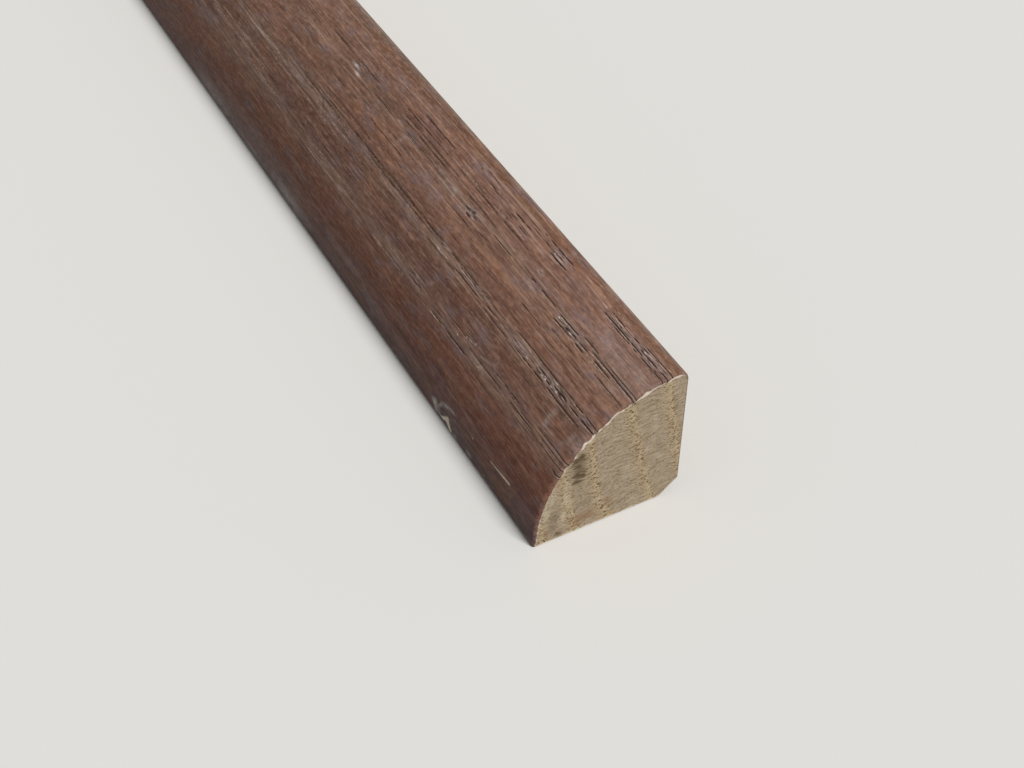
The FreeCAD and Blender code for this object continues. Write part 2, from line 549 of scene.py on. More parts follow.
@dataclass(frozen=True)
class Coat:
    """A colour that shows where a pattern rises from low to high, up to a share."""

    colour: str
    low: float
    high: float
    share: float = 1.0

    def over(self, tree: Tree, base: Socket | Rgba, pattern: Socket) -> Socket:
        """Lays the colour over another one.

        Args:
            tree: node tree of the material.
            base: colour under the coat.
            pattern: pattern that lets the coat show.

        Returns:
            Socket of the mixed colour.
        """
        limits = Limits(self.low, self.high, most=self.share)
        shown = add_node(tree, "MapRange", limits.of(pattern), interpolation_type="SMOOTHSTEP")
        colours = {MIX_FACTOR: shown, MIX_A: base, MIX_B: linear(self.colour)}
        return add_node(tree, "Mix", colours, MIX_RESULT, data_type="RGBA")


@dataclass(frozen=True)
class Layer:
    """A coat that shows by a pattern of the wood."""

    figure: Figure
    coat: Coat

    def over(self, tree: Tree, base: Socket | Rgba, places: Socket) -> Socket:
        """Lays the layer over another colour."""
        return self.coat.over(tree, base, self.figure.draw(tree, places))


@dataclass(frozen=True)
class GrowthRings:
    """Growth rings of the oak, as circles about a pith beyond the wall side of the stock.

    The pith's place is counted from the heel, each ring by the radius at which its earlywood starts, at the
    sawn end. The rings run out slowly along the length. Inside the section, on the wall side, they lean
    nearer to the wall than true circles do.
    """

    pith_across: float = 50.0
    pith_up: float = 17.0
    starts: tuple[float, ...] = (38.4, 43.0, 47.5, 51.8, 56.4, 61.5, 65.1, 69.0)
    earlywood: float = 2.1
    sharpness: float = 0.4
    arch: float = 0.45
    run_out: float = 0.006
    waver: float = 0.3
    lean_reach: Limits = Limits(19.05, 8.0, most=0.9)
    lean_across: Limits = Limits(-10.5, -7.5)
    low: float = 36.0
    high: float = 73.0
    unevenness: Figure = Figure(40.0, 3.0, 2.0)

    def share(self, radius: float) -> float:
        """Share of a radius between the low and the high one."""
        return (radius - self.low) / (self.high - self.low)

    def about_pith(self, tree: Tree, places: Socket) -> Socket:
        """Places in the section, counted from the pith."""
        moved = {"Location": (0.0, -self.pith_across, -self.pith_up), "Scale": (0.0, 1.0, 1.0)}
        return add_node(tree, "Mapping", {"Vector": places, **moved})

    def leaning(self, tree: Tree, places: Socket) -> Socket:
        """How far the rings lean: it rises from the round face inwards and from the toe side to the wall.

        Args:
            tree: node tree of the material.
            places: places in millimetres.

        Returns:
            Socket of the lean in millimetres.
        """
        section = add_node(tree, "VectorMath", {0: places, 1: (0.0, 1.0, 1.0)}, operation="MULTIPLY")
        reach = add_node(tree, "VectorMath", {0: section}, "Value", operation="LENGTH")
        inside = add_node(tree, "MapRange", self.lean_reach.of(reach), interpolation_type="SMOOTHSTEP")
        across = add_node(tree, "SeparateXYZ", {"Vector": places}, "Y")
        wall_side = add_node(tree, "MapRange", self.lean_across.of(across), interpolation_type="SMOOTHSTEP")
        return add_node(tree, "Math", {0: inside, 1: wall_side}, operation="MULTIPLY")

    def depth(self, tree: Tree, places: Socket) -> Socket:
        """Radius from the pith with the lean, the run-out and a slow waver, as a share of low to high.

        Args:
            tree: node tree of the material.
            places: places in millimetres.

        Returns:
            Socket of the share.
        """
        about = self.about_pith(tree, places)
        radius = add_node(tree, "VectorMath", {0: about}, "Value", operation="LENGTH")
        along = add_node(tree, "SeparateXYZ", {"Vector": places}, "X")
        leant = add_node(tree, "Math", {0: radius, 1: self.leaning(tree, places)}, operation="ADD")
        run = add_node(tree, "Math", {0: along, 1: self.run_out, 2: leant}, operation="MULTIPLY_ADD")
        uneven = self.unevenness.draw(tree, places)
        wavy = add_node(tree, "Math", {0: uneven, 1: 2 * self.waver, 2: run}, operation="MULTIPLY_ADD")
        limits = Limits(self.low + self.waver, self.high + self.waver)
        return add_node(tree, "MapRange", limits.of(wavy))

    def shares(self, tree: Tree, depth: Socket) -> Socket:
        """Share of earlywood by a ramp: it jumps up where a ring starts and fades outwards.

        Args:
            tree: node tree of the material.
            depth: radius from the pith as a share.

        Returns:
            Socket that is one where earlywood starts and falls to zero in the latewood.
        """
        stops = [(0.0, BLACK)]
        for start in self.starts:
            stops.append((self.share(start - self.sharpness), BLACK))
            stops.append((self.share(start + self.sharpness), WHITE))
            stops.append((self.share(start + self.earlywood), BLACK))
        return add_node(tree, "ValToRGB", {"Fac": depth}, stops=stops)

    def rays(self, tree: Tree, places: Socket, depth: Socket) -> Socket:
        """Places laid out along the rays: radius from the pith, then distance round it at a mid radius.

        A sine arches the rays up between one ring's earlywood and the next.

        Args:
            tree: node tree of the material.
            places: places in millimetres.
            depth: radius from the pith as a share.

        Returns:
            Socket of the places, with the length along the stock last.
        """
        about = self.about_pith(tree, places)
        radius = add_node(tree, "VectorMath", {0: about}, "Value", operation="LENGTH")
        across = add_node(tree, "SeparateXYZ", {"Vector": about}, "Y")
        up = add_node(tree, "SeparateXYZ", {"Vector": about}, "Z")
        front = add_node(tree, "Math", {0: across, 1: -1.0}, operation="MULTIPLY")
        turn = add_node(tree, "Math", {0: up, 1: front}, operation="ARCTAN2")
        middle = (self.starts[0] + self.starts[-1]) / 2
        round_pith = add_node(tree, "Math", {0: turn, 1: middle}, operation="MULTIPLY")
        stops = [(0.0, BLACK)]
        for start, after in zip(self.starts[:-1], self.starts[1:]):
            stops.append((self.share(start + self.earlywood / 2), BLACK))
            stops.append((self.share((start + after + self.earlywood) / 2), WHITE))
        rise = add_node(tree, "ValToRGB", {"Fac": depth}, stops=stops)
        quarter = add_node(tree, "Math", {0: rise, 1: math.pi / 2}, operation="MULTIPLY")
        swing = add_node(tree, "Math", {0: quarter}, operation="SINE")
        arched = add_node(tree, "Math", {0: swing, 1: -self.arch, 2: round_pith}, operation="MULTIPLY_ADD")
        along = add_node(tree, "SeparateXYZ", {"Vector": places}, "X")
        return add_node(tree, "CombineXYZ", {"X": radius, "Y": arched, "Z": along})


@dataclass(frozen=True)
class Section:
    """The moulded section about the heel line, as one closed outline of eight runs."""

    radius: float = 19.05
    top_easing: float = 1.2
    toe_easing: float = 0.3
    heel_floor: float = 2.4
    heel_wall: float = 2.0
    corner_easing: float = 0.15

    def easing_centre(self, easing: float) -> float:
        """Distance along a leg from the heel to the centre of an edge's rounding."""
        return math.sqrt((self.radius - easing) ** 2 - easing**2)

    def runs(self) -> dict[Run, Curve]:
        """Runs of the outline, each from a share of its way to its (across, up) points.

        Returns:
            A function for each run: a line mixes its ends, an arc turns about its centre, and a corner is
            the quadratic curve that leaves and meets its two lines one easing from their crossing.
        """
        toe = (-self.easing_centre(self.toe_easing), self.toe_easing)
        top = (-self.top_easing, self.easing_centre(self.top_easing))
        toe_angle = math.atan2(toe[1], toe[0])
        top_angle = math.atan2(top[1], top[0])
        ease = self.corner_easing
        slope = math.hypot(self.heel_floor, self.heel_wall)
        step = (-ease * self.heel_floor / slope, -ease * self.heel_wall / slope)
        wall_foot = (0.0, self.heel_wall)
        floor_heel = (-self.heel_floor, 0.0)
        wall_end = (0.0, self.heel_wall + ease)
        floor_start = (-self.heel_floor - ease, 0.0)
        bevel_start = (step[0], self.heel_wall + step[1])
        bevel_end = (-self.heel_floor - step[0], -step[1])

        def line(start: Point, end: Point) -> Curve:
            """Straight run between two points."""
            return lambda t: tuple(start[k] + (end[k] - start[k]) * t for k in (0, 1))

        def arc(centre: Point, radius: float, first: float, last: float) -> Curve:
            """Round run about a centre, from a first to a last angle."""
            return lambda t: (
                centre[0] + radius * np.cos(first + (last - first) * t),
                centre[1] + radius * np.sin(first + (last - first) * t),
            )

        def corner(start: Point, peak: Point, end: Point) -> Curve:
            """Eased corner: the quadratic curve with the crossing as its middle control point."""
            return lambda t: tuple(
                (1 - t) ** 2 * start[k] + 2 * t * (1 - t) * peak[k] + t**2 * end[k] for k in (0, 1)
            )

        return {
            Run.FLOOR: line(floor_start, (toe[0], 0.0)),
            Run.TOE: arc(toe, self.toe_easing, 1.5 * math.pi, toe_angle),
            Run.ROUND: arc((0.0, 0.0), self.radius, toe_angle, top_angle),
            Run.TOP: arc(top, self.top_easing, top_angle, 0.0),
            Run.WALL: line((0.0, top[1]), wall_end),
            Run.WALL_CORNER: corner(wall_end, wall_foot, bevel_start),
            Run.BEVEL: line(bevel_start, bevel_end),
            Run.FLOOR_CORNER: corner(bevel_end, floor_heel, floor_start),
        }

    def outline(self, places: Array) -> Array:
        """Points of the outline: the whole part of a place names its run, the rest its share of it.

        Args:
            places: places from 0 up to the number of runs.

        Returns:
            Distances across and up from the heel, one pair for each place.
        """
        wrapped = np.mod(places, len(Run))
        points = np.zeros((len(places), 2))
        for run, curve in self.runs().items():
            here = np.floor(wrapped) == run
            points[here] = np.stack(curve(wrapped[here] - run), axis=-1)
        return points

    def inward(self, places: Array) -> Array:
        """Directions into the wood: a quarter turn from the outline's way, worked out by a small step.

        Args:
            places: places along the outline.

        Returns:
            Directions across and up.
        """
        step = 1e-3
        way = self.outline(places + step) - self.outline(places - step)
        way /= np.linalg.norm(way, axis=1)[:, None]
        return np.stack([way[:, 1], -way[:, 0]], axis=-1)

    def turns(self, points: Array) -> Array:
        """Angles of points about the heel, in radians from the toe."""
        return np.arctan2(points[..., 1], -points[..., 0])

    def angles(self, places: Array) -> Array:
        """Angles of the outline's points about the heel, in degrees from the toe."""
        return np.degrees(self.turns(self.outline(places)))

    def stained(self, places: Array) -> Array:
        """True on the runs that carry the stain: toe, round face and top edge."""
        return (places >= Run.TOE) & (places < Run.WALL)


@dataclass(frozen=True)
class SawnEnd:
    """A sawn end: the stained arris worn round, a fringe of torn fibres and a flat face drawn in to a pole.

    Each tear is an angle, a width in degrees and a depth: there the raw wood comes out towards the face.
    Each gap is an angle and a width in degrees: there no fibres stand out.
    """

    section: Section
    seed: int

    # Worn arris: its rounding, the limits and rows of that, and how little is worn off the other edges
    roll: float = 0.45
    roll_limits: Point = (0.05, 0.58)
    roll_shares: tuple[float, ...] = (0.0, 0.05, 0.15, 0.3, 0.5, 0.75, 1.0)
    plain_reach: float = 0.12
    plain_inset: float = 0.03

    # Unevenness of the arris, fine and slow: pitch along it, and how far it goes in and out
    unevenness: tuple[Point, ...] = ((0.3, 0.1), (1.5, 0.08))

    # Torn fringe: strength low on the face, angles over which it grows to full, evenness and pitch
    low_tearing: float = 0.36
    full_tearing: Point = (30.0, 58.0)
    even_tearing: float = 0.35
    tearing_pitch: float = 0.35
    tear_strength: float = 2.0
    tears: tuple[Tear, ...] = ()
    gaps: tuple[Point, ...] = ()

    # Fringe on the sawn face: width, evenness, pitch and how much wider a tear makes it
    fringe: float = 0.32
    even_fringe: float = 0.35
    fringe_pitch: float = 0.5
    tear_fringe: float = 1.4
    plain_fringe: float = 0.05

    # Sawn face: depth, middle and rings, the last two of them at the rim
    sunk: float = 0.06
    middle: Point = (-7.5, 7.5)
    ring_step: float = 0.4
    rim_shares: Point = (0.99, 1.0)

    def worn(self, places: Array) -> Array:
        """One on the round face, falling to zero over the toe and the top edge."""
        return np.clip(places - Run.TOE, 0, 1) * np.clip(Run.WALL - places, 0, 1)

    def torn_in(self, angle: Array) -> Array:
        """How far the tears reach into the rounded arris: a bell about each tear's angle.

        Args:
            angle: angles about the heel, in degrees from the toe.

        Returns:
            Depth at each angle.
        """
        depth = np.zeros_like(angle)
        for at, width, size in self.tears:
            depth += size * np.exp(-(((angle - at) / width) ** 2))
        return depth

    def around(self, places: Array) -> tuple[Array, Array]:
        """Angles from the toe to the wall, in degrees, and distances round the face from the toe."""
        angle = np.clip(self.section.angles(places), 0, 90)
        return angle, np.radians(angle) * self.section.radius

    def drawn_in(self, places: Array) -> Array:
        """Steps towards the middle of the end, each as long as it takes to go one unit into the wood.

        Points that only move towards the middle keep their order round it, so a deep inset can't fold.

        Args:
            places: places along the outline.

        Returns:
            Steps across and up.
        """
        way = np.array(self.middle) - self.section.outline(places)
        return way / np.sum(way * self.section.inward(places), axis=1)[:, None]

    def arris(self, places: Array) -> tuple[Array, Array, Array]:
        """Rows of the worn arris: quarter ellipses from the end plane out to the face.

        Args:
            places: places along the outline.

        Returns:
            Distances from the end and insets into the wood, one row for each share of the rounding, and
            the strength of the torn fringe at each place.
        """
        angle, arc = self.around(places)
        worn = self.worn(places)
        roll = self.roll - self.torn_in(angle)
        for number, (pitch, depth) in enumerate(self.unevenness):
            roll += depth * (ragged(arc, pitch, self.seed + number) - 0.5)
        roll = np.clip(roll, *self.roll_limits)
        reach = self.plain_reach + (np.maximum(roll, self.plain_reach) - self.plain_reach) * worn
        inset = self.plain_inset + (roll - self.plain_inset) * worn
        share = np.array(self.roll_shares)[:, None]
        uneven = ragged(arc, self.tearing_pitch, self.seed + 2)
        torn = self.low_tearing + (1 - self.low_tearing) * smooth(angle, *self.full_tearing)
        torn *= self.even_tearing + (1 - self.even_tearing) * uneven
        torn = np.minimum(torn + self.tear_strength * self.torn_in(angle), 1)
        for at, width in self.gaps:
            torn *= 1 - np.exp(-(((angle - at) / width) ** 2))
        return reach * share, inset * (1 - np.sqrt(1 - (1 - share) ** 2)), torn * worn

    def face(self, places: Array) -> Array:
        """Rings of the sawn face: the rim inside the fringe, drawn in evenly towards the middle.

        Args:
            places: places along the outline.

        Returns:
            Points (distance, across, up), one row for each ring, the innermost first.
        """
        _, inset, _ = self.arris(places)
        angle, arc = self.around(places)
        uneven = self.even_fringe + ragged(arc, self.fringe_pitch, self.seed + 3) ** 2
        width = self.fringe * (uneven + self.tear_fringe * self.torn_in(angle))
        wide = self.plain_fringe + (width - self.plain_fringe) * self.worn(places)
        rim = self.section.outline(places) + (inset[0] + wide)[:, None] * self.drawn_in(places)
        middle = np.array(self.middle)
        count = int(np.abs(rim - middle).max() / self.ring_step)
        share = np.append(np.arange(1, count) / count, self.rim_shares)[:, None, None]
        rings = middle + share * (rim - middle)
        depth = np.full((*rings.shape[:2], 1), self.sunk)
        return np.concatenate([depth, rings], axis=-1)


@dataclass(frozen=True)
class MapBox:
    """A box of the bake map, from its low corner to its high one."""

    left: float
    low: float
    right: float
    high: float

    def place(self, across: Array, up: Array) -> Array:
        """Carries shares into the box.

        Args:
            across: shares from 0 to 1 of the box's width.
            up: shares from 0 to 1 of its height.

        Returns:
            Places on the map.
        """
        u = self.left + (self.right - self.left) * across
        v = self.low + (self.high - self.low) * up
        return np.stack(np.broadcast_arrays(u, v), axis=-1)


@dataclass
class FaceList:
    """Faces of a mesh as they are gathered: their corners, their zones and their places on the bake map."""

    corners: list[Array] = field(default_factory=list)
    zones: list[Array] = field(default_factory=list)
    spots: list[Array] = field(default_factory=list)

    def add(self, corners: Array, zones: Array, spots: Array) -> None:
        """Adds faces with the same number of corners.

        Args:
            corners: numbers of the points, one row for each face.
            zones: zone of each face.
            spots: place of each corner on the bake map.
        """
        size = corners.shape[-1]
        self.corners.append(corners.reshape(-1, size))
        self.zones.append(np.broadcast_to(zones, corners.shape[:-1]).ravel())
        self.spots.append(spots.reshape(-1, 2))


@dataclass(frozen=True)
class Stretch:
    """A stretch of the surface as a grid of points that closes round its stations.

    Rows run along the length, and the rings among them lie on a sawn face. Points are (distance, across,
    up), and first is the number of the stretch's first point in the mesh.
    """

    places: Array
    points: Array
    rings: int
    first: int = 0

    def quads(self) -> Array:
        """Faces between the rows.

        Returns:
            Point numbers in the mesh, by row, station and corner.
        """
        count, width = self.points.shape[:2]
        row = np.arange(count - 1)[:, None] * width + self.first
        here = np.arange(width)[None, :]
        after = (here + 1) % width
        return np.stack([row + here, row + after, row + width + after, row + width + here], axis=-1)


@dataclass
class Moulding:
    """One length of quarter round: its outline, its rows along the length and the wear on it."""

    section: Section = field(default_factory=Section)

    # Stations round the outline: steps of each run, and parts of each step on the close stretch
    run_steps: tuple[int, ...] = (18, 6, 64, 10, 16, 2, 4, 2)
    face_splits: int = 3
    pore_splits: int = 6
    pore_bands: tuple[Point, ...] = (
        (1.0, 7.0),
        (11.4, 13.2),
        (31.0, 39.0),
        (47.0, 54.0),
        (63.5, 70.0),
        (76.5, 84.5),
    )

    # Rows along the length: the first past the arris, even ones by their end and step, then wider ones
    first_row: float = 0.65
    fine_rows: tuple[Point, ...] = ((25.0, 0.3), (46.0, 0.5))
    close_length: float = 150.0
    widening_rows: int = 62
    far_step: float = 20.0
    last_gap: float = 1.0

    # Vessels and ridges: depth of a pore, the painted highlight on the lip beside it and how far off it
    # lies, and the unevenness of each line
    pore_depth: float = 0.1
    lip: float = 0.6
    lip_offset: float = 0.13
    line_seed: int = 100
    line_waver: float = 0.08
    waver_pitch: float = 2.3
    line_evenness: float = 0.65
    line_pitch: float = 0.9
    span_fade: float = 0.3

    # Sawn ends
    near_seed: int = 11
    near_tears: tuple[Tear, ...] = (
        (85.4, 2.5, 0.22),
        (77.6, 2.2, 0.16),
        (73.7, 1.0, 0.36),
        (61.4, 1.9, 0.33),
        (51.3, 0.8, 0.22),
        (47.0, 1.3, 0.3),
        (35.5, 1.2, 0.15),
    )
    near_gaps: tuple[Point, ...] = ((82.3, 0.9), (69.0, 1.0), (52.3, 0.8), (65.5, 0.6), (37.5, 0.8))
    far_seed: int = 23
    far_roll: float = 0.25
    far_ring_step: float = 0.8
    sharp_angle: float = 55.0

    # Bake map: the close stretch, the sawn faces, and the first strips of the plain stretch
    arris_width: float = 0.6
    face_box: MapBox = MapBox(0.002, 0.002, 0.998, 0.27)
    flat_box: MapBox = MapBox(0.002, 0.84, 0.45, 0.91)
    near_end_box: MapBox = MapBox(0.5, 0.83, 0.66, 0.99)
    far_end_box: MapBox = MapBox(0.7, 0.84, 0.8, 0.94)
    end_margin: float = 1.0
    strips: int = 4
    strip_gap: float = 0.003
    face_strip: MapBox = MapBox(0.002, 0.28, 0.998, 0.367)
    flat_strip: MapBox = MapBox(0.002, 0.65, 0.998, 0.69)

    def coarse_places(self) -> Array:
        """Places of the outline's stations on the plain stretch, run by run."""
        return np.concatenate([k + np.arange(n) / n for k, n in enumerate(self.run_steps)])

    def splits(self, places: Array) -> Array:
        """Number of parts into which each step between stations is split near the sawn end.

        Args:
            places: places of the coarse stations.

        Returns:
            More parts on the round face, and most where open pores crop out.
        """
        ends = np.append(places[1:], len(Run))
        angle = self.section.angles((places + ends) / 2)
        on_face = np.floor(places) == Run.ROUND
        banded = np.zeros(len(places), bool)
        for low, high in self.pore_bands:
            banded |= (angle > low) & (angle < high)
        return np.where(on_face & banded, self.pore_splits, np.where(on_face, self.face_splits, 1))

    def close_places(self, places: Array, splits: Array) -> Array:
        """Places of the close stations: each coarse step cut into its number of equal parts.

        Args:
            places: places of the coarse stations.
            splits: number of parts of each step.

        Returns:
            All stations of the close stretch, the coarse ones among them.
        """
        ends = np.append(places[1:], len(Run))
        owner = np.repeat(np.arange(len(places)), splits)
        first = np.repeat(np.cumsum(splits) - splits, splits)
        share = (np.arange(splits.sum()) - first) / splits[owner]
        return places[owner] + share * (ends - places)[owner]

    def close_rows(self) -> Array:
        """Distances of the close rows past the arris: even at first, then slowly wider.

        The wider rows follow a quadratic that starts at the last even step and ends at the close length.

        Returns:
            Distances from the sawn end.
        """
        rows = [self.first_row]
        for end, step in self.fine_rows:
            rows.extend(np.arange(rows[-1] + step, end, step))
        t = np.linspace(0, 1, self.widening_rows + 1)[1:]
        step = self.fine_rows[-1][1]
        span = self.close_length - rows[-1]
        even = step * self.widening_rows / span
        return np.append(rows, rows[-1] + span * (even * t + (1 - even) * t**2))

    def line_marks(self, line: GrainLine, seed: int, distance: Array, arc: Array) -> Array:
        """Strength of one line of vessels or ridges: a bell across it that fades at the ends of each span.

        Args:
            line: the line.
            seed: seed of its unevenness.
            distance: distances from the sawn end.
            arc: distances round the face from the toe.

        Returns:
            Strength at each point.
        """
        waver = self.line_waver * (ragged(distance, self.waver_pitch, seed) - 0.5)
        middle = math.radians(line.angle) * self.section.radius + waver
        across = np.exp(-(((arc - middle) / line.width) ** 2))
        uneven = ragged(distance, self.line_pitch, seed + 1)
        uneven = self.line_evenness + (1 - self.line_evenness) * uneven
        along = np.zeros_like(distance)
        for start, end in line.spans:
            rise = smooth(distance, start - self.span_fade, start + self.span_fade)
            fall = smooth(distance, end - self.span_fade, end + self.span_fade)
            along = np.maximum(along, rise - fall)
        return line.strength * uneven * along * across

    def stroke_marks(self, stroke: Stroke, distance: Array, arc: Array) -> Array:
        """Bell of the distance to the nearest part of a stroke's line, in widths of the stroke.

        Args:
            stroke: the stroke.
            distance: distances from the sawn end.
            arc: distances round the face from the toe.

        Returns:
            Share from 0 to 1 at each point.
        """
        degree = math.radians(1) * self.section.radius
        nearest = np.full_like(distance, np.inf)
        for (d0, a0), (d1, a1) in zip(stroke.points[:-1], stroke.points[1:]):
            run_d = d1 - d0
            run_a = (a1 - a0) * degree
            t = (distance - d0) * run_d + (arc - a0 * degree) * run_a
            t = np.clip(t / (run_d**2 + run_a**2), 0, 1)
            gap = (distance - d0 - t * run_d) ** 2 + (arc - a0 * degree - t * run_a) ** 2
            nearest = np.minimum(nearest, gap)
        return np.exp(-nearest / stroke.width**2)

    def patch_marks(self, patch: Patch, distance: Array, arc: Array) -> Array:
        """Bell of the distance from a patch's middle, in half sizes of the patch.

        Args:
            patch: the patch.
            distance: distances from the sawn end.
            arc: distances round the face from the toe.

        Returns:
            Share from 0 to 1 at each point.
        """
        middle = math.radians(patch.angle) * self.section.radius
        along = ((distance - patch.distance) / patch.half_length) ** 2
        return np.exp(-along - ((arc - middle) / patch.half_width) ** 2)

    def wear(self, distance: Array, arc: Array, stained: Array) -> tuple[Array, dict[Mark, Array]]:
        """Depth of pores and dents, and the strength of each mark, over the close stretch.

        Args:
            distance: distance of each point from the sawn end, row by row.
            arc: distance of each point round the face from the toe.
            stained: True for the stations that carry the stain.

        Returns:
            Depths in millimetres, and one array for each mark.
        """
        depth = np.zeros_like(distance)
        marks = {mark: np.zeros_like(distance) for mark in Mark}
        for number, (mark, line) in enumerate(GRAIN_LINES):
            seed = self.line_seed + 2 * number
            strength = self.line_marks(line, seed, distance, arc)
            marks[mark] = np.maximum(marks[mark], strength)
            # Each pore gets a painted highlight on its lip, laid as a pale line beside it
            if mark is Mark.PORE:
                beside = self.line_marks(line, seed, distance, arc + self.lip_offset)
                marks[Mark.PALE] = np.maximum(marks[Mark.PALE], self.lip * beside)
        depth += self.pore_depth * marks[Mark.PORE]
        for spot in SURFACE_MARKS:
            shape = self.stroke_marks if isinstance(spot, Stroke) else self.patch_marks
            share = shape(spot, distance, arc)
            marks[spot.mark] = np.maximum(marks[spot.mark], np.minimum(spot.strength * share, 1))
            depth += spot.dent * share
        return depth * stained, {mark: values * stained for mark, values in marks.items()}

    def near_stretch(self, places: Array) -> tuple[Stretch, dict[Mark, Array]]:
        """The close stretch: the sawn face's rings, the worn arris and the rows along the face.

        Args:
            places: places of the close stations.

        Returns:
            The stretch, and the strength of each mark at its points.
        """
        end = SawnEnd(self.section, self.near_seed, tears=self.near_tears, gaps=self.near_gaps)
        reach, inset, torn = end.arris(places)
        rings = end.face(places)
        rows = self.close_rows()[:, None]
        distance = np.concatenate([reach, np.broadcast_to(rows, (len(rows), len(places)))])
        outline = self.section.outline(places)
        skin = np.broadcast_to(outline, (*distance.shape, 2)).copy()
        skin[: len(inset)] += inset[:, :, None] * end.drawn_in(places)
        arc = self.section.turns(skin) * self.section.radius
        depth, marks = self.wear(distance, arc, self.section.stained(places))
        skin += depth[:, :, None] * self.section.inward(places)
        face = np.concatenate([distance[:, :, None], skin], axis=-1)
        marks = {mark: np.concatenate([np.zeros(rings.shape[:2]), m]) for mark, m in marks.items()}
        marks[Mark.TORN][len(rings) - 1 : len(rings) + 1] = torn
        return Stretch(places, np.concatenate([rings, face]), len(rings)), marks

    def far_stretch(self, places: Array, length: float, first: int) -> Stretch:
        """The plain stretch and the other sawn end.

        Args:
            places: places of the coarse stations.
            length: length of the stock.
            first: number of the stretch's first point.

        Returns:
            The stretch.
        """
        end = SawnEnd(self.section, self.far_seed, self.far_roll, ring_step=self.far_ring_step)
        reach, inset, _ = end.arris(places)
        rings = end.face(places)
        count = int((length - self.close_length) / self.far_step)
        rows = np.linspace(self.close_length, length - self.last_gap, count)[1:, None]
        outline = self.section.outline(places)
        plain = np.broadcast_to(rows, (len(rows), len(places)))
        distance = np.concatenate([plain, length - reach[::-1]])
        depth = np.concatenate([np.zeros_like(plain), inset[::-1]])
        skin = outline + depth[:, :, None] * end.drawn_in(places)
        face = np.concatenate([distance[:, :, None], skin], axis=-1)
        rings[:, :, 0] = length - rings[:, :, 0]
        return Stretch(places, np.concatenate([face, rings[::-1]]), len(rings), first)

    def along_outline(self, places: Array) -> tuple[Array, Array]:
        """Shares along the stained runs or along the flats, at the start and end of each step.

        Args:
            places: places of the stations.

        Returns:
            Shares from 0 to 1 where each station's step starts, and where it ends.
        """
        points = self.section.outline(np.append(places, len(Run)))
        steps = np.linalg.norm(np.diff(points, axis=0), axis=1)
        start = np.cumsum(steps) - steps
        stained = self.section.stained(places)
        flat_start = start[places >= Run.WALL][0]
        start = np.where(stained | (places >= Run.WALL), start, start + steps.sum())
        low = np.where(stained, start[stained].min(), flat_start)
        width = np.where(stained, steps[stained].sum(), steps[~stained].sum())
        return (start - low) / width, (start + steps - low) / width

    def end_spots(self, box: MapBox, points: Array) -> Array:
        """Bake map of a sawn face: its section laid flat into a box."""
        reach = self.section.radius + self.end_margin
        return box.place((points[..., 1] + reach) / reach, points[..., 2] / reach)

    def lay(self, stained: Array, face: MapBox, flat: MapBox, along: Array, across: Array) -> Array:
        """Lays faces on the bake map, in the box of the round face or in that of the flats.

        Args:
            stained: True for each station that carries the stain.
            face: box of the round face.
            flat: box of the flats.
            along: shares of the corners along the length.
            across: shares of the corners round the outline.

        Returns:
            Place of each corner on the map.
        """
        return np.where(stained[:, None, None], face.place(along, across), flat.place(along, across))

    def zones(self, stained: Array) -> Array:
        """Zone of each station's faces off the sawn ends."""
        return np.where(stained, Zone.ROUND_FACE, Zone.PLANED)

    def map_rows(self, near: Stretch, far: Stretch) -> Array:
        """Shares of the close rows along the bake map: the arris opened out, then the rows as they lie.

        Args:
            near: the close stretch.
            far: the plain stretch.

        Returns:
            Shares from 0 at the rim to 1 at the first row of the plain stretch.
        """
        rows = near.points[near.rings :, 0, 0]
        on_arris = np.count_nonzero(rows < self.first_row)
        opened = np.linspace(0, self.arris_width, on_arris)
        rows = np.concatenate([opened, rows[on_arris:], far.points[:1, 0, 0]])
        return (rows - rows[0]) / (rows[-1] - rows[0])

    def add_close_faces(self, faces: FaceList, near: Stretch, rows: Array) -> None:
        """Adds the sawn face's rings and the close stretch, up to the row before the plain one.

        Args:
            faces: faces gathered so far.
            near: the close stretch.
            rows: shares of its rows along the bake map.
        """
        quads = near.quads()
        rings = quads[: near.rings]
        faces.add(rings, Zone.SAWN, self.end_spots(self.near_end_box, near.points.reshape(-1, 3)[rings]))
        stained = self.section.stained(near.places)
        start, end = self.along_outline(near.places)
        across = np.stack([start, end, end, start], axis=-1)[None]
        along = np.stack([rows[:-2], rows[:-2], rows[1:-1], rows[1:-1]], axis=-1)[:, None]
        spots = self.lay(stained, self.face_box, self.flat_box, along, across)
        faces.add(quads[near.rings :], self.zones(stained), spots)

    def add_joining_faces(
        self, faces: FaceList, near: Stretch, far: Stretch, splits: Array, rows: Array
    ) -> None:
        """Adds the row of wider faces that joins the close stations to the coarse ones.

        Args:
            faces: faces gathered so far.
            near: the close stretch.
            far: the plain stretch.
            splits: number of close steps in each coarse one.
            rows: shares of the close rows along the bake map.
        """
        stained = self.section.stained(far.places)
        start, end = self.along_outline(far.places)
        last_row = far.first - len(near.places)
        first_split = np.cumsum(splits) - splits
        for parts in np.unique(splits):
            which = np.flatnonzero(splits == parts)
            near_side = last_row + (first_split[which][:, None] + np.arange(parts + 1)) % len(near.places)
            far_side = far.first + np.stack([(which + 1) % len(far.places), which], axis=-1)
            share = np.append(np.arange(parts + 1) / parts, [1.0, 0.0])
            across = start[which][:, None] + (end - start)[which][:, None] * share
            along = np.append(np.full(parts + 1, rows[-2]), [rows[-1], rows[-1]])[None]
            spots = self.lay(stained[which], self.face_box, self.flat_box, along, across)
            corners = np.concatenate([near_side, far_side], axis=1)
            faces.add(corners, self.zones(stained[which]), spots)

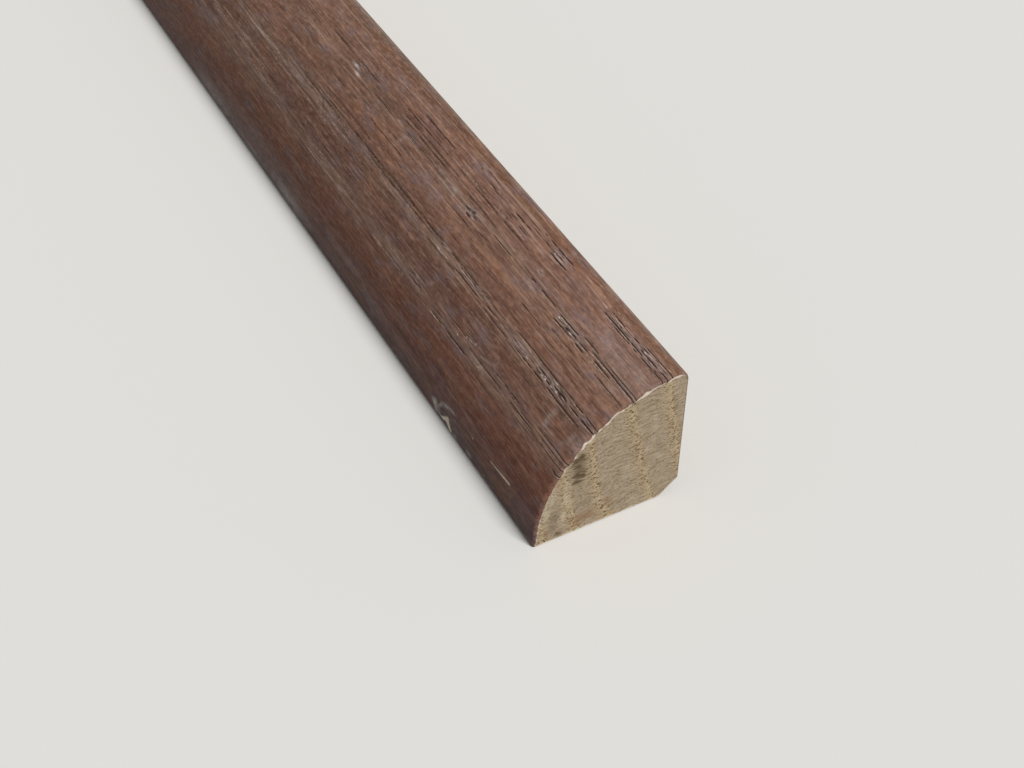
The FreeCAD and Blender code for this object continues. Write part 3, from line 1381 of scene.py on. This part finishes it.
    def add_plain_faces(self, faces: FaceList, far: Stretch, points: Array) -> None:
        """Adds the plain stretch, laid in strips on the bake map, and the other sawn face's rings.

        Args:
            faces: faces gathered so far.
            far: the plain stretch.
            points: all points of the mesh.
        """
        quads = far.quads()
        count = len(far.points) - far.rings - 1
        strip = np.arange(count) * self.strips // count
        rows = far.points[: count + 1, 0, 0]
        first = np.array([rows[:-1][strip == k][0] for k in range(self.strips)])[strip]
        last = np.array([rows[1:][strip == k][-1] for k in range(self.strips)])[strip]
        before = (rows[:-1] - first) / (last - first)
        after = (rows[1:] - first) / (last - first)
        along = np.stack([before, before, after, after], axis=-1)[:, None]
        stained = self.section.stained(far.places)
        start, end = self.along_outline(far.places)
        across = np.stack([start, end, end, start], axis=-1)[None]
        face, flat = self.face_strip, self.flat_strip
        spots = self.lay(stained, face, flat, along, across)
        step = np.where(stained, face.high - face.low, flat.high - flat.low) + self.strip_gap
        spots[..., 1] += (strip[:, None] * step[None])[:, :, None]
        faces.add(quads[:count], self.zones(stained), spots)
        rings = quads[count:]
        faces.add(rings, Zone.SAWN, self.end_spots(self.far_end_box, points[rings]))

    def add_pole_faces(self, faces: FaceList, near: Stretch, far: Stretch, points: Array) -> None:
        """Adds the fan of triangles round the pole of each sawn face.

        Args:
            faces: faces gathered so far.
            near: the close stretch.
            far: the plain stretch.
            points: all points of the mesh, the poles last.
        """
        near_pole, far_pole = len(points) - 2, len(points) - 1
        here = np.arange(len(near.places))
        after = (here + 1) % len(here)
        fan = np.stack([np.full_like(here, near_pole), after, here], axis=-1)
        faces.add(fan, Zone.SAWN, self.end_spots(self.near_end_box, points[fan]))
        here = np.arange(len(far.places))
        after = (here + 1) % len(here)
        ring = near_pole - len(here)
        fan = np.stack([np.full_like(here, far_pole), ring + here, ring + after], axis=-1)
        faces.add(fan, Zone.SAWN, self.end_spots(self.far_end_box, points[fan]))

    def build(self, low: Vector, high: Vector) -> bpy.types.Object:
        """Makes the moulding's mesh in the frame's box and returns its object.

        Rows run from the pole of the photographed end, over its rim and along the length to the other pole.
        The close stretch has more stations than the rest, and one row of wider faces joins the two.

        Args:
            low: lowest corner of the stock.
            high: highest corner of the stock.

        Returns:
            The object, at the origin, with its materials' slots still empty.
        """
        coarse = self.coarse_places()
        splits = self.splits(coarse)
        near, marks = self.near_stretch(self.close_places(coarse, splits))
        near_points = near.points.reshape(-1, 3)
        far = self.far_stretch(coarse, (high.x - low.x) / MM, len(near_points))
        poles = np.array([near.points[0].mean(axis=0), far.points[-1].mean(axis=0)])
        points = np.concatenate([near_points, far.points.reshape(-1, 3), poles])
        rows = self.map_rows(near, far)
        faces = FaceList()
        self.add_close_faces(faces, near, rows)
        self.add_joining_faces(faces, near, far, splits, rows)
        self.add_plain_faces(faces, far, points)
        self.add_pole_faces(faces, near, far, points)
        return self.mesh_object(points, faces, marks, low, high)

    def mesh_object(
        self, points: Array, faces: FaceList, marks: dict[Mark, Array], low: Vector, high: Vector
    ) -> bpy.types.Object:
        """Puts points, faces, marks and the bake map into a mesh.

        Args:
            points: points (distance, across, up) from the heel at the photographed end, in millimetres.
            faces: the faces.
            marks: strength of each mark on the first points.
            low: lowest corner of the stock.
            high: highest corner of the stock.

        Returns:
            The object.
        """
        origin = np.array([high.x, high.y, low.z])
        placed = origin + points * np.array([-MM, MM, MM])
        mesh = bpy.data.meshes.new("moulding")
        corners = list(chain.from_iterable(group.tolist() for group in faces.corners))
        mesh.from_pydata(placed.tolist(), [], corners)
        mesh.polygons.foreach_set("material_index", np.concatenate(faces.zones).astype(np.int32))
        mesh.polygons.foreach_set("use_smooth", np.ones(len(mesh.polygons), bool))
        mesh.set_sharp_from_angle(angle=math.radians(self.sharp_angle))
        for mark, values in marks.items():
            whole = np.zeros(len(points), np.float32)
            whole[: values.size] = values.ravel()
            mesh.attributes.new(mark.value, "FLOAT", "POINT").data.foreach_set("value", whole)
        bake_map = mesh.uv_layers.new(name="OFBake", do_init=False)
        bake_map.uv.foreach_set("vector", np.concatenate(faces.spots).astype(np.float32).ravel())
        mesh.update()
        moulding = bpy.data.objects.new("moulding", mesh)
        bpy.context.scene.collection.objects.link(moulding)
        return moulding


@dataclass(frozen=True)
class OakFinish:
    """What the finishes of the moulding share: the growth rings and the way into and out of a material."""

    heel: tuple[float, float, float]
    rings: GrowthRings = field(default_factory=GrowthRings)
    roughness: Limits = Limits(least=0.5, most=0.8)
    relief: float = 0.06
    index: float = 1.45
    gloss: float = 0.3

    def start(self, name: str) -> tuple[bpy.types.Material, Tree, Socket]:
        """Starts a material with places in millimetres from the heel at the sawn end.

        Args:
            name: name of the material.

        Returns:
            The material, its node tree and the socket of the places.
        """
        made = bpy.data.materials.new(name)
        made.use_nodes = True
        tree = made.node_tree
        place = add_node(tree, "TexCoord", output="Object")
        moved = add_node(tree, "VectorMath", {0: place, 1: self.heel}, operation="SUBTRACT")
        places = add_node(tree, "VectorMath", {0: moved, "Scale": 1 / MM}, operation="SCALE")
        return made, tree, places

    def end(self, tree: Tree, colour: Socket, dullness: Socket, height: Socket) -> None:
        """Ends a material with its roughness, its bump and its shader.

        Args:
            tree: node tree of the material.
            colour: colour of the surface.
            dullness: pattern that makes it rougher, from zero to one.
            height: height of the fine relief, from zero to one.
        """
        rough = add_node(tree, "MapRange", self.roughness.of(dullness))
        bump = add_node(tree, "Bump", {"Height": height, "Distance": self.relief * MM, "Strength": 1.0})
        surface = tree.nodes["Principled BSDF"].inputs
        for name, socket in {"Base Color": colour, "Roughness": rough, "Normal": bump}.items():
            tree.links.new(socket, surface[name])
        surface["IOR"].default_value = self.index
        surface["Specular IOR Level"].default_value = self.gloss


@dataclass(frozen=True)
class StainedOak(OakFinish):
    """Red oak with a brown stain under a satin lacquer.

    The eye sees red-brown latewood and greyer earlywood, fine streaks along the grain, dark open pores with
    pale ridges beside them, and a soft sheen. The ridges' highlights, the glints in the pores, the top
    edge's highlight and the grey sheen along the toe are painted into the colour.
    """

    # Tone of the stain on each ring, by radius: top edge first, greyer earlywood, toe last, with painted
    # light at both edges
    tones: tuple[tuple[float, str], ...] = (
        # Painted highlight along the eased top edge
        (50.3, "#817064"),
        (50.75, "#7D6658"),
        (51.0, "#795C4C"),
        (51.5, "#73523F"),
        (52.0, "#775746"),
        (52.5, "#7E5F52"),
        (54.3, "#7D5D50"),
        (56.8, "#76594B"),
        (58.8, "#856452"),
        (60.4, "#7C594A"),
        (61.8, "#795E50"),
        (63.6, "#705043"),
        (64.9, "#76584E"),
        (66.0, "#826558"),
        (67.3, "#825544"),
        (68.5, "#7F5242"),
        (69.4, "#7B534C"),
        # Painted sheen at the toe, and painted shade next to the floor
        (70.1, "#7C5F5C"),
        (70.8, "#625556"),
    )
    layers: tuple[Layer, ...] = (
        # Streaks, and warm and mauve patches, several millimetres long
        Layer(Figure(10.0, 0.8, 3.0, 0.6), Coat("#5C3F34", 0.5, 0.7, 0.66)),
        Layer(Figure(12.0, 0.9, 3.0, 0.6), Coat("#AC836E", 0.5, 0.7, 0.47)),
        Layer(Figure(7.0, 2.2, 4.0, 0.65), Coat("#8C5C41", 0.5, 0.7, 0.5)),
        Layer(Figure(5.0, 1.9, 4.0, 0.65), Coat("#7F6E71", 0.5, 0.7, 0.66)),
        # Mottling where the stain was wiped off unevenly
        Layer(Figure(1.5, 1.2, 3.0, 0.65), Coat("#593C31", 0.5, 0.72, 0.3)),
        Layer(Figure(1.6, 1.1, 3.0, 0.65), Coat("#B48A75", 0.5, 0.72, 0.25)),
        Layer(Figure(0.7, 0.55, 2.0, 0.6), Coat("#51362B", 0.5, 0.72, 0.26)),
        Layer(Figure(0.75, 0.5, 2.0, 0.6), Coat("#BA917D", 0.5, 0.72, 0.2)),
        # Darker spots where the stain soaked in
        Layer(Figure(3.5, 0.6, 4.0, 0.7), Coat("#5A423B", 0.54, 0.76, 0.4)),
        # Long thin dark and pale lines
        Layer(Figure(6.0, 0.26, 2.0, 0.6), Coat("#48322A", 0.54, 0.72, 0.58)),
        Layer(Figure(9.0, 0.26, 2.0, 0.6), Coat("#B39784", 0.57, 0.74, 0.45)),
    )

    # Painted highlight on the ridges in the earlywood, tone by the distance along (painted shade on the
    # worn arris, darker further on), and fine fibres
    ridges: Figure = Figure(13.0, 0.2, 2.0)
    raised: Limits = Limits(0.52, 0.66)
    ridge_highlight: Coat = Coat("#A8917F", 0.1, 0.7, 0.5)
    # Painted shade on the worn arris
    shaded_arris: Coat = Coat("#5C443C", -0.6, -0.1, 0.08)
    darkening_along: Coat = Coat("#3A2A22", -10.0, -75.0, 0.23)
    fibres: Figure = Figure(1.8, 0.2, 3.0, 0.65)
    fibre: Coat = Coat("#46322B", 0.5, 0.72, 0.45)
    glow: Coat = Coat("#B4937F", 0.5, 0.28, 0.36)

    # Open vessels, the grit that breaks them into beads, the paler wood beside them, and painted highlights
    # and glints on the lacquer
    vessels: Figure = Figure(1.3, 0.12, 2.0, 0.5)
    sharp: Limits = Limits(0.54, 0.66)
    bright: Limits = Limits(0.48, 0.36)
    grit: Figure = Figure(0.4, 0.12, 2.0, 0.6)
    beads: Limits = Limits(0.38, 0.54, least=0.58)
    breaks: Limits = Limits(0.6, 0.42, least=0.4)
    pore: Coat = Coat("#2C1F19", 0.06, 0.45, 0.94)
    open_wood: Coat = Coat("#8C7D7B", 0.0, 1.0, 0.48)
    # Painted glints in the open grain
    glint: Coat = Coat("#C8B2A5", 0.1, 0.8, 0.55)
    pale: Coat = Coat("#D8C1AB", 0.1, 0.75, 0.72)
    # Painted glints at the glint spots
    glint_spot: Coat = Coat("#DAD0C8", 0.15, 0.7, 0.8)

    # Rubbed, bare and torn places, and the painted sheen along the toe laid with the scuffs
    rubs_and_sheen: Figure = Figure(1.2, 0.3, 3.0, 0.65)
    patches: Limits = Limits(0.1, 0.6)
    scuff_and_sheen: Coat = Coat("#D2C9C6", 0.02, 0.9, 0.8)
    # Bare wood painted near white: a painted highlight for the light on the chip and nicks low on the face
    bare: Coat = Coat("#FBEFD9", 0.15, 0.65, 0.97)
    torn: Coat = Coat("#E9D6C4", 0.3, 0.7, 1.0)

    # Satin lacquer, duller in the pores, where it is rubbed and under the painted sheen along the toe
    roughness: Limits = Limits(least=0.5, most=0.75)
    relief: float = 0.03
    index: float = 1.5
    gloss: float = 0.065

    def material(self) -> bpy.types.Material:
        """Makes the material.

        Returns:
            The stained and lacquered oak.
        """
        made, tree, places = self.start("stained_lacquered_oak")
        marks = {m: add_node(tree, "Attribute", output="Fac", attribute_name=m.value) for m in Mark}

        # Tone of each ring, then the streaks, patches and lines over it
        depth = self.rings.depth(tree, places)
        stops = [(self.rings.share(radius), linear(tone)) for radius, tone in self.tones]
        colour = add_node(tree, "ValToRGB", {"Fac": depth}, stops=stops)
        for layer in self.layers:
            colour = layer.over(tree, colour, places)

        # Painted highlight on thin pale ridges in the earlywood
        outcrops = replace(self.rings, starts=self.rings.starts[:-1])
        early = outcrops.shares(tree, depth)
        ridges = self.ridges.draw(tree, places)
        raised = add_node(tree, "MapRange", self.raised.of(ridges))
        ridge_highlit = add_node(tree, "Math", {0: raised, 1: early}, operation="MULTIPLY")
        colour = self.ridge_highlight.over(tree, colour, ridge_highlit)

        # Painted shade: darker on the worn arris, which turns towards the light
        along = add_node(tree, "SeparateXYZ", {"Vector": places}, "X")
        colour = self.shaded_arris.over(tree, colour, along)

        # Darker away from the sawn end
        colour = self.darkening_along.over(tree, colour, along)

        # Fine fibres, dark and light
        fibres = self.fibres.draw(tree, places)
        colour = self.fibre.over(tree, colour, fibres)
        colour = self.glow.over(tree, colour, fibres)

        # Open vessels: those in the mesh, and finer ones where the grain is open, with painted highlights
        # on the lacquer beside them and painted glints in them
        open_grain = marks[Mark.OPEN_GRAIN]
        colour = self.open_wood.over(tree, colour, open_grain)
        grit = self.grit.draw(tree, places)
        beaded = add_node(tree, "MapRange", self.beads.of(grit))
        broken = add_node(tree, "MapRange", self.breaks.of(grit))
        lips = add_node(tree, "Math", {0: marks[Mark.PALE], 1: broken}, operation="MULTIPLY")
        colour = self.pale.over(tree, colour, lips)
        lines = add_node(tree, "Math", {0: marks[Mark.PORE], 1: beaded}, operation="MULTIPLY")
        vessels = self.vessels.draw(tree, places)
        bright = add_node(tree, "MapRange", self.bright.of(vessels))
        glints = add_node(tree, "Math", {0: bright, 1: open_grain}, operation="MULTIPLY")
        colour = self.glint.over(tree, colour, glints)
        sharp = add_node(tree, "MapRange", self.sharp.of(vessels))
        chained = add_node(tree, "Math", {0: sharp, 1: beaded}, operation="MULTIPLY")
        ticks = add_node(tree, "Math", {0: chained, 1: open_grain}, operation="MULTIPLY")
        pores = add_node(tree, "Math", {0: lines, 1: ticks}, operation="MAXIMUM")
        colour = self.pore.over(tree, colour, pores)
        colour = self.glint_spot.over(tree, colour, marks[Mark.GLINT_SPOT])

        # Rubbed, bare and torn places, and the painted sheen along the toe laid with the scuffs
        rubs_and_sheen = self.rubs_and_sheen.draw(tree, places)
        patchy = add_node(tree, "MapRange", self.patches.of(rubs_and_sheen))
        scuffed_and_sheened = add_node(tree, "Math", {0: marks[Mark.SCUFF_AND_SHEEN], 1: patchy}, operation="MULTIPLY")
        colour = self.scuff_and_sheen.over(tree, colour, scuffed_and_sheened)
        # Bare wood, painted bright as a highlight
        bared = add_node(tree, "Math", {0: marks[Mark.BARE], 1: patchy}, operation="MULTIPLY")
        colour = self.bare.over(tree, colour, bared)
        colour = self.torn.over(tree, colour, marks[Mark.TORN])

        # Lacquer
        dull = add_node(tree, "Math", {0: pores, 1: scuffed_and_sheened}, operation="MAXIMUM")
        height = add_node(tree, "Math", {0: fibres, 1: ticks}, operation="SUBTRACT")
        self.end(tree, colour, dull, height)
        return made


@dataclass(frozen=True)
class PlanedOak(OakFinish):
    """Bare red oak as the moulder's knives left it: tan, with brown vessel lines in each ring."""

    latewood: str = "#BFA17D"
    earlywood: Coat = Coat("#AE8C64", 0.0, 1.0)
    vessels: Figure = Figure(5.0, 0.2, 2.0)
    sharp: Limits = Limits(0.5, 0.66)
    vessel: Coat = Coat("#6F5036", 0.0, 1.0, 0.8)
    fibres: Figure = Figure(12.0, 0.3)
    fibre: Coat = Coat("#8C6A49", 0.5, 0.8, 0.5)
    overspray: Coat = Coat("#7E5C4E", 17.3, 18.6, 0.8)
    overspray_waver: float = 1.5

    def material(self) -> bpy.types.Material:
        """Makes the material.

        Returns:
            The bare planed oak.
        """
        made, tree, places = self.start("planed_bare_oak")
        early = self.rings.shares(tree, self.rings.depth(tree, places))
        colour = self.earlywood.over(tree, linear(self.latewood), early)
        vessels = self.vessels.draw(tree, places)
        sharp = add_node(tree, "MapRange", self.sharp.of(vessels))
        lines = add_node(tree, "Math", {0: sharp, 1: early}, operation="MULTIPLY")
        colour = self.vessel.over(tree, colour, lines)
        fibres = self.fibres.draw(tree, places)
        colour = self.fibre.over(tree, colour, fibres)

        # Stain that ran over the top edge onto the wall face
        up = add_node(tree, "SeparateXYZ", {"Vector": places}, "Z")
        uneven = {0: fibres, 1: self.overspray_waver, 2: up}
        edge = add_node(tree, "Math", uneven, operation="MULTIPLY_ADD")
        colour = self.overspray.over(tree, colour, edge)
        height = add_node(tree, "Math", {0: fibres, 1: lines}, operation="SUBTRACT")
        self.end(tree, colour, fibres, height)
        return made


@dataclass(frozen=True)
class SawnOak(OakFinish):
    """Red oak sawn across: grey-tan end grain, with yellowish rings of open vessels and fine rays.

    Each smudge is a place across and up from the heel, its half sizes and its strength.
    """

    latewood: str = "#B3A087"
    earlywood: Coat = Coat("#C6AC82", 0.0, 0.7, 0.45)
    grains: Figure = Figure(0.34, 0.24, 2.0)
    grain: Coat = Coat("#DFCAA3", 0.34, 0.66, 0.58)
    speck: Coat = Coat("#7C664C", 0.5, 0.72, 0.7)
    vessel_spacing: tuple[float, float, float] = (0.5, 0.2, 5.0)
    dots: Limits = Limits(0.46, 0.16)
    sparse: Limits = Limits(0.66, 0.5)
    vessel: Coat = Coat("#62461F", 0.06, 0.55, 0.85)
    rays: Figure = Figure(1.3, 0.3, 2.0, 0.5)
    ray: Coat = Coat("#8A755B", 0.5, 0.74, 0.55)
    flour: Coat = Coat("#D2C5AE", 0.5, 0.26, 0.5)
    patchiness: float = 0.25
    mottle: Figure = Figure(2.5, 2.5, 3.0)
    shade: Coat = Coat("#97846A", 0.5, 0.75, 0.25)
    torn: Coat = Coat("#F2DFCC", 0.1, 0.7, 1.0)
    roughness: Limits = Limits(least=0.75, most=0.95)
    relief: float = 0.07
    gloss: float = 0.25

    # Smudges: depth, the sizes at which an oval starts and is full, and how the pattern breaks its edge
    smudge_depth: float = 4.0
    smudge_sizes: Point = (1.6, 0.1)
    breaking: float = 2.6
    bar_breaking: float = 3.4
    burn: Coat = Coat("#45310F", 0.1, 0.9, 0.78)
    burns: tuple[Oval, ...] = (
        (-13.6, 11.5, 0.75, 0.46, 1.0),
        (-13.1, 11.85, 0.6, 0.48, 0.95),
        (-13.35, 10.4, 0.85, 0.4, 1.0),
        (-13.5, 9.1, 0.75, 0.42, 1.0),
        (-12.85, 8.95, 0.7, 0.52, 1.0),
        (-13.4, 7.95, 0.8, 0.42, 1.0),
        (-13.3, 10.2, 1.2, 2.8, 0.66),
        (-16.3, 3.5, 0.8, 1.0, 0.48),
        (-16.4, 1.9, 0.8, 0.7, 0.48),
        (-15.7, 0.5, 0.6, 0.5, 0.6),
        (-12.7, 4.1, 1.5, 0.8, 0.42),
        (-13.0, 6.3, 1.3, 1.1, 0.32),
    )
    blush: Coat = Coat("#956C49", 0.0, 1.0, 0.95)
    blushes: tuple[Oval, ...] = (
        (-12.6, 1.8, 1.7, 0.9, 0.6),
        (-11.5, 1.4, 0.9, 0.6, 0.5),
        (-13.4, 0.8, 0.8, 0.5, 0.5),
        (-14.5, 7.0, 0.5, 0.8, 0.4),
        (-9.3, 2.8, 1.3, 0.9, 0.4),
        (-17.4, 1.2, 0.6, 0.5, 0.5),
    )
    dust: Coat = Coat("#DFD0B2", 0.0, 1.0, 0.6)
    dusts: tuple[Oval, ...] = (
        (-14.7, 6.6, 0.6, 2.4, 0.7),
        (-17.4, 4.6, 0.5, 1.4, 0.7),
        (-15.2, 3.0, 0.5, 1.2, 0.6),
        (-16.6, 6.8, 0.5, 1.4, 0.5),
    )

    def smudges(
        self, tree: Tree, places: Socket, ragged_edge: Socket, ovals: Sequence[Oval], breaking: float
    ) -> Socket:
        """Soft ovals on the photographed end: each falls off with the distance from its middle.

        Args:
            tree: node tree of the material.
            places: places in millimetres.
            ragged_edge: pattern that breaks the ovals' edges.
            ovals: the ovals.
            breaking: how strongly the pattern breaks them.

        Returns:
            Socket of the strongest oval at each place.
        """
        strongest: Socket | float = 0.0
        rim, core = (breaking / 2 + size for size in self.smudge_sizes)
        for across, up, half_across, half_up, strength in ovals:
            scale = (1 / self.smudge_depth, 1 / half_across, 1 / half_up)
            place = tuple(-p * s for p, s in zip((0.0, across, up), scale))
            oval = add_node(tree, "Mapping", {"Vector": places, "Location": place, "Scale": scale})
            away = add_node(tree, "VectorMath", {0: oval}, "Value", operation="LENGTH")
            away = add_node(tree, "Math", {0: ragged_edge, 1: breaking, 2: away}, operation="MULTIPLY_ADD")
            limits = Limits(rim, core, most=strength)
            spot = add_node(tree, "MapRange", limits.of(away), interpolation_type="SMOOTHSTEP")
            strongest = add_node(tree, "Math", {0: spot, 1: strongest}, operation="MAXIMUM")
        return strongest

    def material(self) -> bpy.types.Material:
        """Makes the material.

        Returns:
            The sawn end grain.
        """
        made, tree, places = self.start("sawn_oak_end_grain")
        depth = self.rings.depth(tree, places)
        early = self.rings.shares(tree, depth)
        mottle = self.mottle.draw(tree, places)
        colour = self.shade.over(tree, linear(self.latewood), mottle)
        colour = self.earlywood.over(tree, colour, early)

        # Rays towards the pith, crossed by the saw
        round_pith = self.rings.rays(tree, places, depth)
        rays = self.rays.draw(tree, round_pith)
        clear = add_node(tree, "Math", {0: mottle, 1: 0.5}, operation="SUBTRACT")
        uneven = {0: clear, 1: self.patchiness, 2: rays}
        colour = self.ray.over(tree, colour, add_node(tree, "Math", uneven, operation="MULTIPLY_ADD"))
        colour = self.flour.over(tree, colour, rays)

        # Specks all over, and bright grains and open vessels in the earlywood
        grains = self.grains.draw(tree, round_pith)
        colour = self.speck.over(tree, colour, grains)
        lit = add_node(tree, "Math", {0: grains, 1: early}, operation="MULTIPLY")
        colour = self.grain.over(tree, colour, lit)
        scale = tuple(1 / spacing for spacing in self.vessel_spacing)
        spaced = add_node(tree, "Mapping", {"Vector": round_pith, "Scale": scale})
        away = add_node(tree, "TexVoronoi", {"Vector": spaced, "Scale": 1.0}, "Distance")
        dots = add_node(tree, "MapRange", self.dots.of(away))
        sparse = add_node(tree, "MapRange", self.sparse.of(grains))
        some = add_node(tree, "Math", {0: dots, 1: sparse}, operation="MULTIPLY")
        vessels = add_node(tree, "Math", {0: some, 1: early}, operation="MULTIPLY")
        colour = self.vessel.over(tree, colour, vessels)

        # Saw dust, blushed patches, and scorched bars where the blade rubbed
        dusty = self.smudges(tree, places, grains, self.dusts, self.breaking)
        colour = self.dust.over(tree, colour, dusty)
        scorch = self.smudges(tree, places, rays, self.burns, self.bar_breaking)
        blushed = self.smudges(tree, places, grains, self.blushes, self.breaking)
        colour = self.blush.over(tree, colour, blushed)
        colour = self.burn.over(tree, colour, scorch)

        # Torn fibres along the arris
        torn = add_node(tree, "Attribute", output="Fac", attribute_name=Mark.TORN.value)
        colour = self.torn.over(tree, colour, torn)
        height = add_node(tree, "Math", {0: rays, 1: vessels}, operation="SUBTRACT")
        self.end(tree, colour, rays, height)
        return made


@dataclass(frozen=True)
class PaleFloor:
    """Wide pale floor just under the moulding.

    Its matt paint takes the moulding's shadow and throws little light back. The floor's half width is in
    metres, and its drop below the moulding in millimetres.
    """

    half: float = 20.0
    drop: float = 0.1
    colour: str = "#D9D7D3"
    bounce: str = "#5A5957"
    roughness: float = 0.8
    gloss: float = 0.1

    def build(self, height: float) -> bpy.types.Object:
        """Makes the floor.

        Args:
            height: height of the moulding's floor face, in metres.

        Returns:
            The floor's object.
        """
        half = self.half
        corners = [(-half, -half), (half, -half), (half, half), (-half, half)]
        mesh = bpy.data.meshes.new("studio_floor")
        mesh.from_pydata([(x, y, height - self.drop * MM) for x, y in corners], [], [(0, 1, 2, 3)])
        mesh.materials.append(self.material())
        floor = bpy.data.objects.new("studio_floor", mesh)
        bpy.context.scene.collection.objects.link(floor)
        return floor

    def material(self) -> bpy.types.Material:
        """Makes the paint, pale to the eye and in reflections, and duller where it lights the moulding.

        Returns:
            The floor's material.
        """
        made = bpy.data.materials.new("pale_floor_paint")
        made.use_nodes = True
        tree = made.node_tree
        colours = {MIX_FACTOR: seen_rays(tree), MIX_A: linear(self.bounce), MIX_B: linear(self.colour)}
        paint = add_node(tree, "Mix", colours, MIX_RESULT, data_type="RGBA")
        surface = tree.nodes["Principled BSDF"].inputs
        tree.links.new(paint, surface["Base Color"])
        surface["Roughness"].default_value = self.roughness
        surface["Specular IOR Level"].default_value = self.gloss
        return made


@dataclass(frozen=True)
class Studio:
    """Soft light from above the sawn end and a camera at the photographed angle.

    The key light's direction points to the light, and its angle and the camera's are in degrees.
    The camera's place is counted from the heel at the sawn end, in millimetres, and so is its near clip.
    """

    key_from: tuple[float, float, float] = (0.44, 0.16, 0.65)
    key_level: float = 3.0
    key_angle: float = 24.0
    sky_level: float = 0.3
    backdrop: str = "#DEDDD9"
    lens: float = 57.78
    sensor: float = 36.0
    camera_place: tuple[float, float, float] = (102.89, -78.31, 141.52)
    yaw: float = 151.228
    pitch: float = 44.318
    roll: float = -0.533
    near_clip: float = 10.0

    def light(self) -> None:
        """Sets a broad soft key light and an even pale sky."""
        lamp = bpy.data.lights.new("key", "SUN")
        lamp.energy = self.key_level
        lamp.angle = math.radians(self.key_angle)
        key = bpy.data.objects.new("key", lamp)
        key.rotation_mode = "QUATERNION"
        key.rotation_quaternion = Vector(self.key_from).to_track_quat("Z", "Y")
        bpy.context.scene.collection.objects.link(key)
        world = bpy.data.worlds.new("soft_sky")
        world.use_nodes = True
        tree = world.node_tree
        grey = (self.sky_level, self.sky_level, self.sky_level, 1.0)
        colours = {MIX_FACTOR: seen_rays(tree), MIX_A: grey, MIX_B: linear(self.backdrop)}
        sky = add_node(tree, "Mix", colours, MIX_RESULT, data_type="RGBA")
        tree.links.new(sky, tree.nodes["Background"].inputs["Color"])
        bpy.context.scene.world = world

    def camera(self, low: Vector, high: Vector) -> None:
        """Sets the camera where the photograph was taken.

        Args:
            low: lowest corner of the stock.
            high: highest corner of the stock.
        """
        yaw, pitch, roll = (math.radians(a) for a in (self.yaw, self.pitch, self.roll))
        ahead = Vector((math.cos(pitch) * math.cos(yaw), math.cos(pitch) * math.sin(yaw), -math.sin(pitch)))
        right = ahead.cross(Vector((0, 0, 1))).normalized()
        down = ahead.cross(right)
        turned = math.cos(roll) * right + math.sin(roll) * down
        dropped = math.cos(roll) * down - math.sin(roll) * right
        data = bpy.data.cameras.new("camera")
        data.lens = self.lens
        data.sensor_width = self.sensor
        data.clip_start = self.near_clip * MM
        camera = bpy.data.objects.new("camera", data)
        place = Vector((high.x, high.y, low.z)) + Vector(self.camera_place) * MM
        axes = Matrix((turned, -dropped, -ahead)).transposed()
        camera.matrix_world = Matrix.Translation(place) @ axes.to_4x4()
        bpy.context.scene.collection.objects.link(camera)
        bpy.context.scene.camera = camera


def main() -> None:
    """Builds the moulding, dresses it and sets the studio."""
    logging.basicConfig(level=logging.INFO)
    low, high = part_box(NODE)
    heel = (high.x, high.y, low.z)
    moulding = Moulding().build(low, high)
    for finish in (StainedOak(heel), PlanedOak(heel), SawnOak(heel)):
        moulding.data.materials.append(finish.material())
    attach(moulding, "root")
    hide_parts(NODE)
    triangles = len(moulding.data.loops) - 2 * len(moulding.data.polygons)
    LOG.info("moulding: %d triangles", triangles)

    PaleFloor().build(low.z)
    studio = Studio()
    studio.light()
    studio.camera(low, high)
    bpy.context.scene.view_settings.view_transform = "Standard"


if __name__ == "__main__":
    main()
